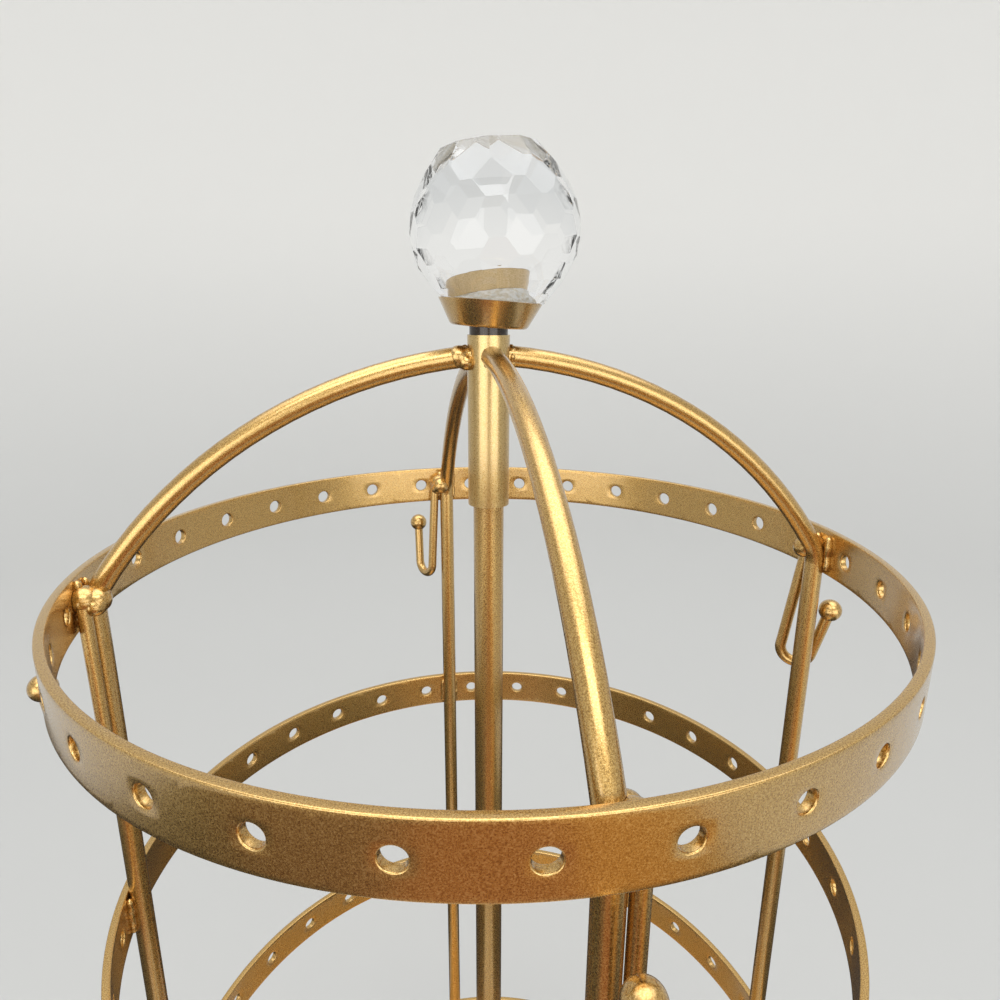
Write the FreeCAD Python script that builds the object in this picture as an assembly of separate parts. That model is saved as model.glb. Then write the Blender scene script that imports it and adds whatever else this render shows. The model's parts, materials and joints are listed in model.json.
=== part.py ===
import FreeCAD, Part
import math
import os

# Turning jewellery stand with a drawer in its base.
#
# A square sheet-metal base holds one velvet-lined drawer.  A fixed post stands on the
# base, and a cage of four bent rods and four perforated hoops hangs on a sleeve that
# turns on the post.  Earrings hang in the holes of the hoops, necklaces on the four
# ball-ended hooks, and a cut-glass knob in a turned cup closes the top.
#
# Millimetres.  +Z is up, the origin is the middle of the pad's underside and the
# drawer opens towards -Y.  An azimuth is in degrees from +Y, clockwise seen from above.

Vector = FreeCAD.Vector
UP = Vector(0, 0, 1)
ORIGIN = Vector(0, 0, 0)
SAME = 1e-6                 # lengths that differ by less are taken as equal

# ---- fits and gaps between pieces ----
RUNNING_FIT = 0.05          # radial play of the sleeve on the post
PRESS_FIT = 0.01            # radial play left in a pressed joint
BOLT_CLEARANCE = 0.2        # radial play of a screw or stud in a plain hole
WELD_GAP = 0.03             # space the weld fills between two welded pieces
HOOK_GAP = 0.15             # the same round a hook, which is welded on by its nugget
THRUST_GAP = 0.05           # end play of the cage on top of the post
SLIDE_GAP = 0.2             # drawer floor above its runners
SIDE_GAP = 0.6              # drawer sides to the runners, each side
STOP_GAP = 0.5              # left at the stops when the drawer is right out
FRONT_GAP = 0.7             # drawer front to the edges of its window
LINING_GAP = 0.15           # lining to the walls of the tray

# ---- base box ----
BASE_WIDTH = 170.0
BASE_DEPTH = 170.0
BASE_CORNER = 12.0
PAD_THICKNESS = 1.5
PAD_INSET = 5.0
BOTTOM_THICKNESS = 1.5
SHELL_HEIGHT = 51.5
SHELL_WALL = 1.2
SHELL_SEAM = 0.4            # butt seam down the middle of the back
TOP_THICKNESS = 1.5
TOP_OVERHANG = 1.0
TOP_EDGE_ROUND = 0.9
WINDOW_MARGIN = 14.0        # base side to the window of the drawer
WINDOW_RAIL = 4.5           # rail left over the window

# ---- drawer ----
DRAWER_TRAVEL = 105.0
TRAY_LENGTH = 158.0
TRAY_HEIGHT = 35.6
TRAY_WALL = 1.0
TRAY_CORNER = 3.0
TRAY_FLOOR_BEND = 1.6       # outside radius where floor and walls meet
SIDE_MARGIN = 3.0           # window edge to the side of the tray
FRONT_SKIN = 1.2
FRONT_RETURN = 8.0          # depth of the folded edges of the drawer front
FRONT_PROUD = 1.0           # drawer front in front of the base
FRONT_BEND = 2.0
LINING_FLOOR = 1.5
LINING_WALL = 1.2
LINING_LOW = 1.6            # rim of the lining below the rim of the tray
RUNNER_THICKNESS = 1.2
RUNNER_FLANGE = 10.0
RUNNER_BEND = 1.8
RUNNER_HEADROOM = 0.4       # rim of the tray to the upper flange
RUNNER_LENGTH = 152.0
STOP_DISTANCE = 88.0        # between the middles of the two stop brackets
STOP_WIDTH = 18.0
STOP_FOOT = 10.0
STOP_OVERLAP = 6.0          # how far tab and bracket overlap in height
TAB_WIDTH = 14.0
TAB_HEIGHT = 9.0
KNOB_BALL = 12.0
KNOB_FOOT = 9.0
KNOB_FOOT_HEIGHT = 1.2
KNOB_NECK = 4.6
KNOB_LENGTH = 16.0
SCREW_SHANK = 3.0
SCREW_GRIP = 8.0            # length of the screw inside the knob
SCREW_HEAD = 6.0
SCREW_HEAD_HEIGHT = 1.9

# ---- post and its fixing ----
POST_DIAMETER = 6.0
POST_CHAMFER = 0.5
POST_TAIL = 1.0             # end of the post below the nut
BOSS_DIAMETER = 34.0
BOSS_RIM = 2.0
BOSS_COVE = 10.0
BOSS_NECK = 12.0
BOSS_NECK_HEIGHT = 2.4
BOSS_CHAMFER = 0.6
BACKING_SIZE = 50.0
BACKING_CORNER = 5.0
BACKING_THICKNESS = 2.0
WASHER_DIAMETER = 12.0
WASHER_THICKNESS = 1.0
NUT_FLATS = 10.0
NUT_HEIGHT = 5.0

# ---- cage ----
RING_COUNT = 4
RING_PITCH = 70.0
LOWEST_RING = 64.0          # middle of the lowest hoop above the base
RING_INSIDE = 152.0
STRIP_THICKNESS = 1.5
STRIP_HEIGHT = 10.0
HOLE_COUNT = 32
HOLE_DIAMETER = 3.2
ROD_DIAMETER = 4.0
ROD_AZIMUTH = -9.8          # azimuth of the rear rod with the cage at rest
ARM_RADIUS = 93.2           # bow of the arms over the top hoop
ARM_CENTRE_OUT = -5.0       # centre of that bow, from the axis
ARM_CENTRE_DOWN = 49.4      # and below the middle of the top hoop
ARM_BEND = 8.0              # bend from arm to upright

# ---- sleeve and finial ----
SLEEVE_DIAMETER = 8.0
SLEEVE_LENGTH = 32.5
SLEEVE_OVER_ARMS = 3.94     # top of the sleeve over the middle of the arms that meet it
PLUG_LENGTH = 10.0
STUD_DIAMETER = 4.0
STUD_GRIP = 6.0               # length of the stud that is pressed into the cup
NECK_DIAMETER = 7.2
NECK_HEIGHT = 1.4
CUP_RIM = 19.2
CUP_BASE = 14.2
CUP_HEIGHT = 4.7
CUP_SEAT_DEPTH = 1.1
CUP_LIP = 0.4
CUP_ROUND = 1.0
FINIAL_LEAN = 4.0           # degrees that cup and glass lean towards +X
GLASS_WIDTH = 29.9          # across two opposite facets
GLASS_OVER_CUP = 12.0       # middle of the glass over the rim of the cup
GLASS_CROWN = 13.8          # flat table on top, over the middle of the glass
GLASS_SEAT = 16.2           # spigot ground on the base, which sits in the cup
GLASS_ROLL = 9.0            # degrees that the cutting axis leans back in the cup
GLASS_TIERS = 8
FACETS_ROUND = 10
LOWEST_FACET = -44.0        # slopes of the end tiers, in degrees from upright
HIGHEST_FACET = 38.0
GLASS_BOSS = 11.0             # boss of the cup that is glued into the glass
GLASS_BOSS_HEIGHT = 6.8       # over the rim of the cup
GLUE_FILM = 0.05

# ---- hooks ----
HOOK_WIRE = 2.5
HOOK_SHANK = 26.9
HOOK_THROAT = 4.3           # clear width between shank and tip
HOOK_TIP = 12.3             # end of the bend to the middle of the ball
HOOK_FLARE = 6.5            # degrees that the tip leans outwards
HOOK_BALL = 5.0
HOOK_RISE = 1.5             # top of the shank over the middle of the hoop
NUGGET = 5.4                # weld nugget at the top of a hook
NUGGET_SHARE = 0.62         # its place on the way from the rod to the hook

# Rods stand a quarter turn apart.  Each hook is welded on by hand, so its own turn
# about the upright and its lean outwards and sideways (mm per mm of drop) differ.
ROD_NAMES = ("back", "right", "front", "left")
HOOK_TURN = {"back": 29.6, "right": -39.2, "front": -17.5, "left": 20.0}
HOOK_LEAN_OUT = {"back": 0.0, "right": -0.087, "front": 0.0, "left": -0.02}
HOOK_LEAN_SIDE = {"back": 0.049, "right": 0.091, "front": 0.0, "left": 0.03}

# ---- levels and places worked out from the sizes above ----
BOTTOM_Z = PAD_THICKNESS
SHELL_Z = BOTTOM_Z + BOTTOM_THICKNESS
TOP_Z = SHELL_Z + SHELL_HEIGHT
DECK_Z = TOP_Z + TOP_THICKNESS

FRONT_Y = -BASE_DEPTH / 2
WINDOW_HALF = BASE_WIDTH / 2 - WINDOW_MARGIN
WINDOW_TOP = TOP_Z - WINDOW_RAIL
WINDOW_CORNER = 2 * FRONT_GAP
FACE_Y = FRONT_Y - FRONT_PROUD
FACE_HALF = WINDOW_HALF - FRONT_GAP
FACE_LOW = SHELL_Z + FRONT_GAP
FACE_HIGH = WINDOW_TOP - FRONT_GAP
FACE_MIDDLE = (FACE_LOW + FACE_HIGH) / 2

TRAY_HALF = WINDOW_HALF - SIDE_MARGIN
TRAY_FRONT = FACE_Y + FRONT_SKIN
TRAY_BACK = TRAY_FRONT + TRAY_LENGTH
TRAY_LOW = SHELL_Z + RUNNER_THICKNESS + SLIDE_GAP
TRAY_HIGH = TRAY_LOW + TRAY_HEIGHT
RUNNER_FRONT = FACE_Y + FRONT_RETURN + STOP_GAP
RUNNER_WEB = TRAY_HALF + SIDE_GAP

RING_RADIUS = RING_INSIDE / 2
RING_LEVELS = [DECK_Z + LOWEST_RING + RING_PITCH * step for step in range(RING_COUNT)][::-1]
TOP_RING = RING_LEVELS[0]
ROD_RADIUS = ROD_DIAMETER / 2
ROD_CIRCLE = RING_RADIUS - WELD_GAP - ROD_RADIUS
ROD_FOOT = RING_LEVELS[-1] - STRIP_HEIGHT / 2

POST_RADIUS = POST_DIAMETER / 2
SLEEVE_RADIUS = SLEEVE_DIAMETER / 2
SLEEVE_BORE = POST_RADIUS + RUNNING_FIT
ARM_HUB_Z = TOP_RING - ARM_CENTRE_DOWN
ARM_MEETS_Z = ARM_HUB_Z + math.sqrt(ARM_RADIUS ** 2 - (SLEEVE_RADIUS - ARM_CENTRE_OUT) ** 2)
SLEEVE_HIGH = ARM_MEETS_Z + SLEEVE_OVER_ARMS
SLEEVE_LOW = SLEEVE_HIGH - SLEEVE_LENGTH
POST_TOP = SLEEVE_HIGH - PLUG_LENGTH - THRUST_GAP
WASHER_TOP = TOP_Z - BACKING_THICKNESS
NUT_TOP = WASHER_TOP - WASHER_THICKNESS
POST_LOW = NUT_TOP - NUT_HEIGHT - POST_TAIL

CUP_LOW = SLEEVE_HIGH + NECK_HEIGHT
CUP_TOP = CUP_LOW + CUP_HEIGHT
GLASS_LOW = CUP_TOP - CUP_SEAT_DEPTH
GLASS_MIDDLE = CUP_TOP + GLASS_OVER_CUP
GLASS_HIGH = GLASS_MIDDLE + GLASS_CROWN
BOSS_TOP = CUP_TOP + GLASS_BOSS_HEIGHT
STUD_TOP = CUP_LOW + STUD_GRIP
STUD_HOLE = STUD_DIAMETER / 2 + BOLT_CLEARANCE
SCREW_HOLE = SCREW_SHANK / 2 + BOLT_CLEARANCE


# ---- helpers ----
def cylinder(radius, low, high, x=0.0, y=0.0):
    """Upright cylinder from one level to another."""
    return Part.makeCylinder(radius, high - low, Vector(x, y, low), UP)


def block(x_low, x_high, y_low, y_high, z_low, z_high):
    """Box between two corners."""
    return Part.makeBox(x_high - x_low, y_high - y_low, z_high - z_low,
                        Vector(x_low, y_low, z_low))


def upright_edges(solid):
    """Straight edges that run along Z."""
    edges = []
    for edge in solid.Edges:
        start, end = edge.firstVertex().Point, edge.lastVertex().Point
        if abs(start.x - end.x) + abs(start.y - end.y) < SAME < abs(start.z - end.z):
            edges.append(edge)
    return edges


def edges_at_level(solid, level):
    """Edges that lie wholly at one height."""
    return [edge for edge in solid.Edges
            if max(abs(edge.BoundBox.ZMin - level), abs(edge.BoundBox.ZMax - level)) < SAME]


def rounded_block(x_half, y_low, y_high, z_low, z_high, corner):
    """Box about x = 0 with its four upright edges rounded."""
    solid = block(-x_half, x_half, y_low, y_high, z_low, z_high)
    return solid.makeFillet(corner, upright_edges(solid))


def rounded_plate(width, depth, z_low, thickness, corner):
    """Flat plate about the axis with rounded corners."""
    return rounded_block(width / 2, -depth / 2, depth / 2, z_low, z_low + thickness, corner)


def turned(edges):
    """Solid turned about the Z axis from edges in the XZ plane that close on themselves."""
    face = Part.Face(Part.Wire(edges))
    return face.revolve(ORIGIN, UP, 360)


def polygon_edges(points):
    """Straight edges through (radius, level) points, left open at the end."""
    corners = [Vector(radius, 0, level) for radius, level in points]
    return [Part.makeLine(a, b) for a, b in zip(corners, corners[1:])]


def turned_polygon(points):
    """Solid turned about the Z axis from a closed outline of (radius, level) points."""
    return turned(polygon_edges(points + points[:1]))


def swept_rod(path, radius):
    """Round rod along a smooth path whose first edge starts the rod."""
    start = path[0].firstVertex().Point
    heading = path[0].tangentAt(path[0].FirstParameter)
    section = Part.Wire([Part.makeCircle(radius, start, heading)])
    return Part.Wire(path).makePipeShell([section], True, True)


def at_azimuth(solid, azimuth):
    """Turn a solid built along +Y to an azimuth."""
    placed = solid.copy()
    placed.rotate(ORIGIN, UP, -azimuth)
    return placed


def rod_azimuth(name):
    """Azimuth of one of the four rods."""
    return ROD_AZIMUTH + 360.0 / len(ROD_NAMES) * ROD_NAMES.index(name)


# ---- base ----
def base_pad():
    """Felt pad that the base stands on."""
    return rounded_plate(BASE_WIDTH - 2 * PAD_INSET, BASE_DEPTH - 2 * PAD_INSET,
                         0.0, PAD_THICKNESS, BASE_CORNER - PAD_INSET)


def base_bottom_plate():
    """Plate under the shell."""
    return rounded_plate(BASE_WIDTH, BASE_DEPTH, BOTTOM_Z, BOTTOM_THICKNESS, BASE_CORNER)


def base_shell():
    """Sheet wrapped round the base, with the drawer's window in front and a seam behind."""
    outside = rounded_plate(BASE_WIDTH, BASE_DEPTH, SHELL_Z, SHELL_HEIGHT, BASE_CORNER)
    inside = rounded_plate(BASE_WIDTH - 2 * SHELL_WALL, BASE_DEPTH - 2 * SHELL_WALL,
                           SHELL_Z, SHELL_HEIGHT, BASE_CORNER - SHELL_WALL)
    window = block(-WINDOW_HALF, WINDOW_HALF, FRONT_Y - SHELL_WALL, FRONT_Y + 2 * SHELL_WALL,
                   SHELL_Z, WINDOW_TOP)
    top_corners = [edge for edge in window.Edges
                   if edge.BoundBox.YLength > SHELL_WALL
                   and edge.BoundBox.ZMin > WINDOW_TOP - SHELL_WALL]
    window = window.makeFillet(WINDOW_CORNER, top_corners)
    seam = block(-SHELL_SEAM / 2, SHELL_SEAM / 2, BASE_DEPTH / 2 - 2 * SHELL_WALL,
                 BASE_DEPTH / 2 + SHELL_WALL, SHELL_Z, TOP_Z)
    return outside.cut(inside).cut(window).cut(seam)


def base_top_plate():
    """Deck of the base, with a rounded edge and the hole of the post."""
    deck = rounded_plate(BASE_WIDTH + 2 * TOP_OVERHANG, BASE_DEPTH + 2 * TOP_OVERHANG,
                         TOP_Z, TOP_THICKNESS, BASE_CORNER + TOP_OVERHANG)
    deck = deck.makeFillet(TOP_EDGE_ROUND, edges_at_level(deck, DECK_Z))
    return deck.cut(cylinder(POST_RADIUS + BOLT_CLEARANCE, TOP_Z, DECK_Z))


def drawer_runner(side):
    """Channel that carries and holds down one side of the drawer; side is -1 or 1."""
    web_in = RUNNER_WEB
    web_out = RUNNER_WEB + RUNNER_THICKNESS
    lip = web_in - RUNNER_FLANGE
    low_inside = SHELL_Z + RUNNER_THICKNESS
    high_inside = TRAY_HIGH + RUNNER_HEADROOM
    high = high_inside + RUNNER_THICKNESS
    outline = [(lip, SHELL_Z), (web_out, SHELL_Z), (web_out, high), (lip, high),
               (lip, high_inside), (web_in, high_inside), (web_in, low_inside), (lip, low_inside)]
    corners = [Vector(side * x, RUNNER_FRONT, z) for x, z in outline + outline[:1]]
    channel = Part.Face(Part.makePolygon(corners)).extrude(Vector(0, RUNNER_LENGTH, 0))
    bends = [edge for edge in channel.Edges
             if edge.BoundBox.YLength > RUNNER_LENGTH / 2
             and abs(abs(edge.BoundBox.Center.x) - web_out) < SAME]
    channel = channel.makeFillet(RUNNER_BEND, bends)
    creases = [edge for edge in channel.Edges
               if edge.BoundBox.YLength > RUNNER_LENGTH / 2
               and abs(abs(edge.BoundBox.Center.x) - web_in) < SAME]
    return channel.makeFillet(RUNNER_BEND - RUNNER_THICKNESS, creases)


def drawer_stops():
    """Two angle brackets under the deck that catch the tabs of the tray."""
    face = TRAY_BACK - TRAY_WALL - DRAWER_TRAVEL - STOP_GAP
    low = TRAY_HIGH + TAB_HEIGHT - STOP_OVERLAP
    brackets = []
    for side in (-1, 1):
        middle = side * STOP_DISTANCE / 2
        left = middle - STOP_WIDTH / 2
        right = middle + STOP_WIDTH / 2
        leg = block(left, right, face - SHELL_WALL, face, low, TOP_Z)
        foot = block(left, right, face - STOP_FOOT, face, TOP_Z - SHELL_WALL, TOP_Z)
        brackets.append(leg.fuse(foot).removeSplitter())
    return Part.makeCompound(brackets)


# ---- post ----
def post():
    """Fixed rod, bolted through the deck; the cage rests and turns on its top end."""
    edge = POST_RADIUS - POST_CHAMFER
    return turned_polygon([(0, POST_LOW), (edge, POST_LOW), (POST_RADIUS, POST_LOW + POST_CHAMFER),
                           (POST_RADIUS, POST_TOP - POST_CHAMFER), (edge, POST_TOP), (0, POST_TOP)])


def post_boss():
    """Turned foot of the post, with a cove from its rim to its neck."""
    bore = POST_RADIUS + PRESS_FIT
    rim = BOSS_DIAMETER / 2
    neck = BOSS_NECK / 2
    rim_top = DECK_Z + BOSS_RIM
    cove_top = rim_top + BOSS_COVE
    top = cove_top + BOSS_NECK_HEIGHT
    bulge = math.sqrt(0.5)
    cove_middle = Vector(rim - (rim - neck) * bulge, 0, cove_top - BOSS_COVE * bulge)
    outline = polygon_edges([(bore, top), (bore, DECK_Z), (rim, DECK_Z), (rim, rim_top)])
    outline.append(Part.Arc(Vector(rim, 0, rim_top), cove_middle,
                            Vector(neck, 0, cove_top)).toShape())
    outline += polygon_edges([(neck, cove_top), (neck, top - BOSS_CHAMFER),
                              (neck - BOSS_CHAMFER, top), (bore, top)])
    return turned(outline)


def post_backing_plate():
    """Square plate that spreads the pull of the post under the deck."""
    plate = rounded_plate(BACKING_SIZE, BACKING_SIZE, WASHER_TOP, BACKING_THICKNESS,
                          BACKING_CORNER)
    return plate.cut(cylinder(POST_RADIUS + BOLT_CLEARANCE, WASHER_TOP, TOP_Z))


def post_washer():
    """Plain washer over the nut."""
    disc = cylinder(WASHER_DIAMETER / 2, NUT_TOP, WASHER_TOP)
    return disc.cut(cylinder(POST_RADIUS + BOLT_CLEARANCE, NUT_TOP, WASHER_TOP))


def post_nut():
    """Hexagon nut with its corners chamfered by a cone on the lower face."""
    corner = NUT_FLATS / math.sqrt(3)
    low = NUT_TOP - NUT_HEIGHT
    points = [Vector(corner * math.cos(math.radians(60 * turn)),
                     corner * math.sin(math.radians(60 * turn)), low) for turn in range(7)]
    hexagon = Part.Face(Part.makePolygon(points)).extrude(Vector(0, 0, NUT_HEIGHT))
    flat = NUT_FLATS / 2
    drop = (corner - flat) / math.sqrt(3)
    chamfer = turned_polygon([(0, low), (flat, low), (corner, low + drop),
                              (corner, NUT_TOP), (0, NUT_TOP)])
    return hexagon.common(chamfer).cut(cylinder(POST_RADIUS + PRESS_FIT, low, NUT_TOP))


# ---- drawer ----
def screw_bore(radius, y_low, y_high):
    """Hole along Y on the axis of the knob."""
    return Part.makeCylinder(radius, y_high - y_low, Vector(0, y_low, FACE_MIDDLE),
                             Vector(0, 1, 0))


def open_box(half, y_low, y_high, z_low, z_high, wall, floor, corner, bend):
    """Tray with rounded corners and a rounded edge round its floor."""
    outside = rounded_block(half, y_low, y_high, z_low, z_high, corner)
    outside = outside.makeFillet(bend, edges_at_level(outside, z_low))
    inside = rounded_block(half - wall, y_low + wall, y_high - wall, z_low + floor, z_high,
                           corner - wall)
    return outside.cut(inside)


def drawer_tray():
    """Folded tray with two stop tabs standing up from its back wall."""
    tray = open_box(TRAY_HALF, TRAY_FRONT, TRAY_BACK, TRAY_LOW, TRAY_HIGH,
                    TRAY_WALL, TRAY_WALL, TRAY_CORNER, TRAY_FLOOR_BEND)
    for side in (-1, 1):
        middle = side * STOP_DISTANCE / 2
        tab = block(middle - TAB_WIDTH / 2, middle + TAB_WIDTH / 2, TRAY_BACK - TRAY_WALL,
                    TRAY_BACK, TRAY_HIGH - TRAY_WALL, TRAY_HIGH + TAB_HEIGHT)
        tray = tray.fuse(tab)
    bore = screw_bore(SCREW_HOLE, TRAY_FRONT - TRAY_WALL, TRAY_FRONT + 2 * TRAY_WALL)
    return tray.removeSplitter().cut(bore)


def drawer_front():
    """Pressed front: a skin whose top and side edges fold back."""
    back = FACE_Y + FRONT_RETURN
    outside = block(-FACE_HALF, FACE_HALF, FACE_Y, back, FACE_LOW, FACE_HIGH)
    rounded = [edge for edge in outside.Edges
               if edge.BoundBox.YMax < FACE_Y + FRONT_SKIN
               and edge.BoundBox.ZMax > FACE_HIGH - FRONT_SKIN]
    outside = outside.makeFillet(FRONT_BEND, rounded)
    inside = block(-FACE_HALF + FRONT_SKIN, FACE_HALF - FRONT_SKIN, TRAY_FRONT, back,
                   FACE_LOW, FACE_HIGH - FRONT_SKIN)
    return outside.cut(inside).cut(screw_bore(SCREW_HOLE, FACE_Y - FRONT_SKIN, back))


def drawer_lining():
    """Velvet liner inside the tray, cut away round the head of the knob's screw."""
    inset = TRAY_WALL + LINING_GAP
    liner = open_box(TRAY_HALF - inset, TRAY_FRONT + inset, TRAY_BACK - inset,
                     TRAY_LOW + TRAY_WALL, TRAY_HIGH - LINING_LOW,
                     LINING_WALL, LINING_FLOOR, TRAY_CORNER - TRAY_WALL, LINING_GAP)
    head = SCREW_HEAD / 2 + 3 * LINING_GAP
    return liner.cut(screw_bore(head, TRAY_FRONT, TRAY_FRONT + inset + 2 * LINING_WALL))


def drawer_knob():
    """Ball knob on a slim neck and a small foot, bored for its screw."""
    ball = KNOB_BALL / 2
    neck = KNOB_NECK / 2
    foot = KNOB_FOOT / 2
    centre = KNOB_LENGTH - ball
    meet = centre - math.sqrt(ball ** 2 - neck ** 2)
    outline = polygon_edges([(0, 0), (foot, 0), (foot, KNOB_FOOT_HEIGHT / 2),
                             (neck, KNOB_FOOT_HEIGHT), (neck, meet)])
    outline.append(Part.Arc(Vector(neck, 0, meet), Vector(ball, 0, centre),
                            Vector(0, 0, KNOB_LENGTH)).toShape())
    outline += polygon_edges([(0, KNOB_LENGTH), (0, 0)])
    knob = turned(outline).cut(cylinder(SCREW_SHANK / 2 + PRESS_FIT, 0, SCREW_GRIP + BOLT_CLEARANCE))
    knob.rotate(ORIGIN, Vector(1, 0, 0), 90)
    knob.translate(Vector(0, FACE_Y, FACE_MIDDLE))
    return knob


def drawer_knob_screw():
    """Pan-head screw through the tray and the front into the knob."""
    seat = TRAY_FRONT + TRAY_WALL
    shank = screw_bore(SCREW_SHANK / 2, FACE_Y - SCREW_GRIP, seat)
    head = screw_bore(SCREW_HEAD / 2, seat, seat + SCREW_HEAD_HEIGHT)
    crown = [edge for edge in head.Edges if edge.BoundBox.YMin > seat + SCREW_HEAD_HEIGHT / 2]
    head = head.makeFillet(SCREW_HEAD_HEIGHT / 2, crown)
    return shank.fuse(head)


# ---- cage ----
def rod_path(start_out):
    """Arm, bend and upright of a rod in the YZ plane, from a distance off the axis."""
    hub = Vector(0, ARM_CENTRE_OUT, ARM_HUB_Z)
    bend_out = ROD_CIRCLE - ARM_BEND
    reach = ARM_RADIUS - ARM_BEND
    bend = Vector(0, bend_out, hub.z + math.sqrt(reach ** 2 - (bend_out - hub.y) ** 2))

    def on_arm(angle):
        return hub + Vector(0, math.sin(angle), math.cos(angle)) * ARM_RADIUS

    first = math.asin((start_out - hub.y) / ARM_RADIUS)
    last = math.atan2(bend.y - hub.y, bend.z - hub.z)
    half_bend = (last + math.pi / 2) / 2
    on_bend = bend + Vector(0, math.sin(half_bend), math.cos(half_bend)) * ARM_BEND
    shoulder = Vector(0, ROD_CIRCLE, bend.z)
    arm = Part.Arc(on_arm(first), on_arm((first + last) / 2), on_arm(last)).toShape()
    elbow = Part.Arc(on_arm(last), on_bend, shoulder).toShape()
    upright = Part.makeLine(shoulder, Vector(0, ROD_CIRCLE, ROD_FOOT))
    return [arm, elbow, upright]


def cage_rod(name):
    """Bent rod of the cage, coped to the sleeve it is welded to."""
    rod = swept_rod(rod_path(SLEEVE_RADIUS / 2), ROD_RADIUS)
    rod = rod.cut(cylinder(SLEEVE_RADIUS + WELD_GAP, SLEEVE_LOW, SLEEVE_HIGH))
    return at_azimuth(rod, rod_azimuth(name))


def ring(level):
    """Hoop of flat strip, pierced by evenly spaced holes with the rods between two holes."""
    low = level - STRIP_HEIGHT / 2
    high = level + STRIP_HEIGHT / 2
    outer = RING_RADIUS + STRIP_THICKNESS
    hoop = cylinder(outer, low, high).cut(cylinder(RING_RADIUS, low, high))
    step = 360.0 / HOLE_COUNT
    drill = Part.makeCylinder(HOLE_DIAMETER / 2, 3 * STRIP_THICKNESS,
                              Vector(0, RING_RADIUS - STRIP_THICKNESS, level), Vector(0, 1, 0))
    holes = [at_azimuth(drill, ROD_AZIMUTH + step * (index + 0.5)) for index in range(HOLE_COUNT)]
    return hoop.cut(Part.makeCompound(holes))


def sleeve():
    """Tube that turns on the post and carries the four arms."""
    tube = cylinder(SLEEVE_RADIUS, SLEEVE_LOW, SLEEVE_HIGH)
    return tube.cut(cylinder(SLEEVE_BORE, SLEEVE_LOW, SLEEVE_HIGH))


# ---- finial ----
def leaning(solid):
    """Lean a solid of the finial about the middle of the cup's underside."""
    placed = solid.copy()
    placed.rotate(Vector(0, 0, CUP_LOW), Vector(0, 1, 0), FINIAL_LEAN)
    return placed


def finial_stud():
    """Plug pressed into the sleeve, with the leaning stud that the cup is pressed on."""
    plug = cylinder(SLEEVE_BORE - PRESS_FIT, SLEEVE_HIGH - PLUG_LENGTH, SLEEVE_HIGH)
    stud = cylinder(STUD_DIAMETER / 2, SLEEVE_HIGH - STUD_DIAMETER, STUD_TOP)
    return plug.fuse(leaning(stud))


def finial_neck():
    """Spacer ring between the sleeve and the cup, dressed to the cup's lean."""
    disc = cylinder(NECK_DIAMETER / 2, SLEEVE_HIGH, CUP_LOW + NECK_HEIGHT)
    above = block(-CUP_RIM, CUP_RIM, -CUP_RIM, CUP_RIM, CUP_LOW, CUP_LOW + CUP_RIM)
    bore = cylinder(STUD_HOLE, SLEEVE_HIGH - NECK_HEIGHT, CUP_LOW + NECK_HEIGHT)
    return disc.cut(leaning(above)).cut(leaning(bore))


def finial_cup():
    """Turned conical cup with a shallow seat and a boss, which the glass is glued over."""
    bore = STUD_DIAMETER / 2 + PRESS_FIT
    bore_top = STUD_TOP + BOLT_CLEARANCE
    rim = CUP_RIM / 2
    base = CUP_BASE / 2
    seat_rim = rim - CUP_LIP
    seat_floor = GLASS_SEAT / 2 + CUP_LIP
    boss = GLASS_BOSS / 2
    cup = turned_polygon([(0, bore_top), (bore, bore_top), (bore, CUP_LOW), (base, CUP_LOW),
                          (rim, CUP_TOP), (seat_rim, CUP_TOP), (seat_floor, GLASS_LOW),
                          (boss, GLASS_LOW), (boss, BOSS_TOP), (0, BOSS_TOP)])
    lower_edge = [edge for edge in edges_at_level(cup, CUP_LOW)
                  if edge.BoundBox.XLength > CUP_BASE - CUP_LIP]
    return leaning(cup.makeFillet(CUP_ROUND, lower_edge))


def crystal_ball():
    """Cut-glass ball: tiers of flat facets round one sphere, a flat table and a spigot.

    The facets of a tier have one slope and are indexed evenly round the cutting axis.
    The tiers are staggered by half a facet, and the axis leans in the cup by the roll.
    A blind bore in the spigot takes the boss of the cup and a film of glue."""
    half = GLASS_WIDTH / 2
    middle = Vector(0, 0, GLASS_MIDDLE)
    glass = Part.makeSphere(GLASS_WIDTH, middle)
    tool = Part.makeBox(4 * GLASS_WIDTH, 2 * GLASS_WIDTH, 4 * GLASS_WIDTH,
                        Vector(-2 * GLASS_WIDTH, half, GLASS_MIDDLE - 2 * GLASS_WIDTH))
    table = block(-GLASS_WIDTH, GLASS_WIDTH, -GLASS_WIDTH, GLASS_WIDTH,
                  GLASS_HIGH, GLASS_HIGH + GLASS_WIDTH)
    glass = glass.cut(table)
    for tier in range(GLASS_TIERS):
        slope = LOWEST_FACET + (HIGHEST_FACET - LOWEST_FACET) * tier / (GLASS_TIERS - 1)
        cutter = tool.copy()
        cutter.rotate(middle, Vector(1, 0, 0), slope)
        for index in range(FACETS_ROUND):
            turn = 360.0 / FACETS_ROUND * (index + tier % 2 / 2)
            glass = glass.cut(at_azimuth(cutter, turn))
    glass.rotate(middle, Vector(0, 1, 0), -GLASS_ROLL)
    foot = CUP_TOP + WELD_GAP
    glass = glass.cut(block(-GLASS_WIDTH, GLASS_WIDTH, -GLASS_WIDTH, GLASS_WIDTH,
                            foot - GLASS_WIDTH, foot))
    glass = glass.fuse(cylinder(GLASS_SEAT / 2, GLASS_LOW, foot + CUP_LIP))
    bore = cylinder(GLASS_BOSS / 2 + GLUE_FILM, GLASS_LOW, BOSS_TOP + GLUE_FILM)
    return leaning(glass.cut(bore))


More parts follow.
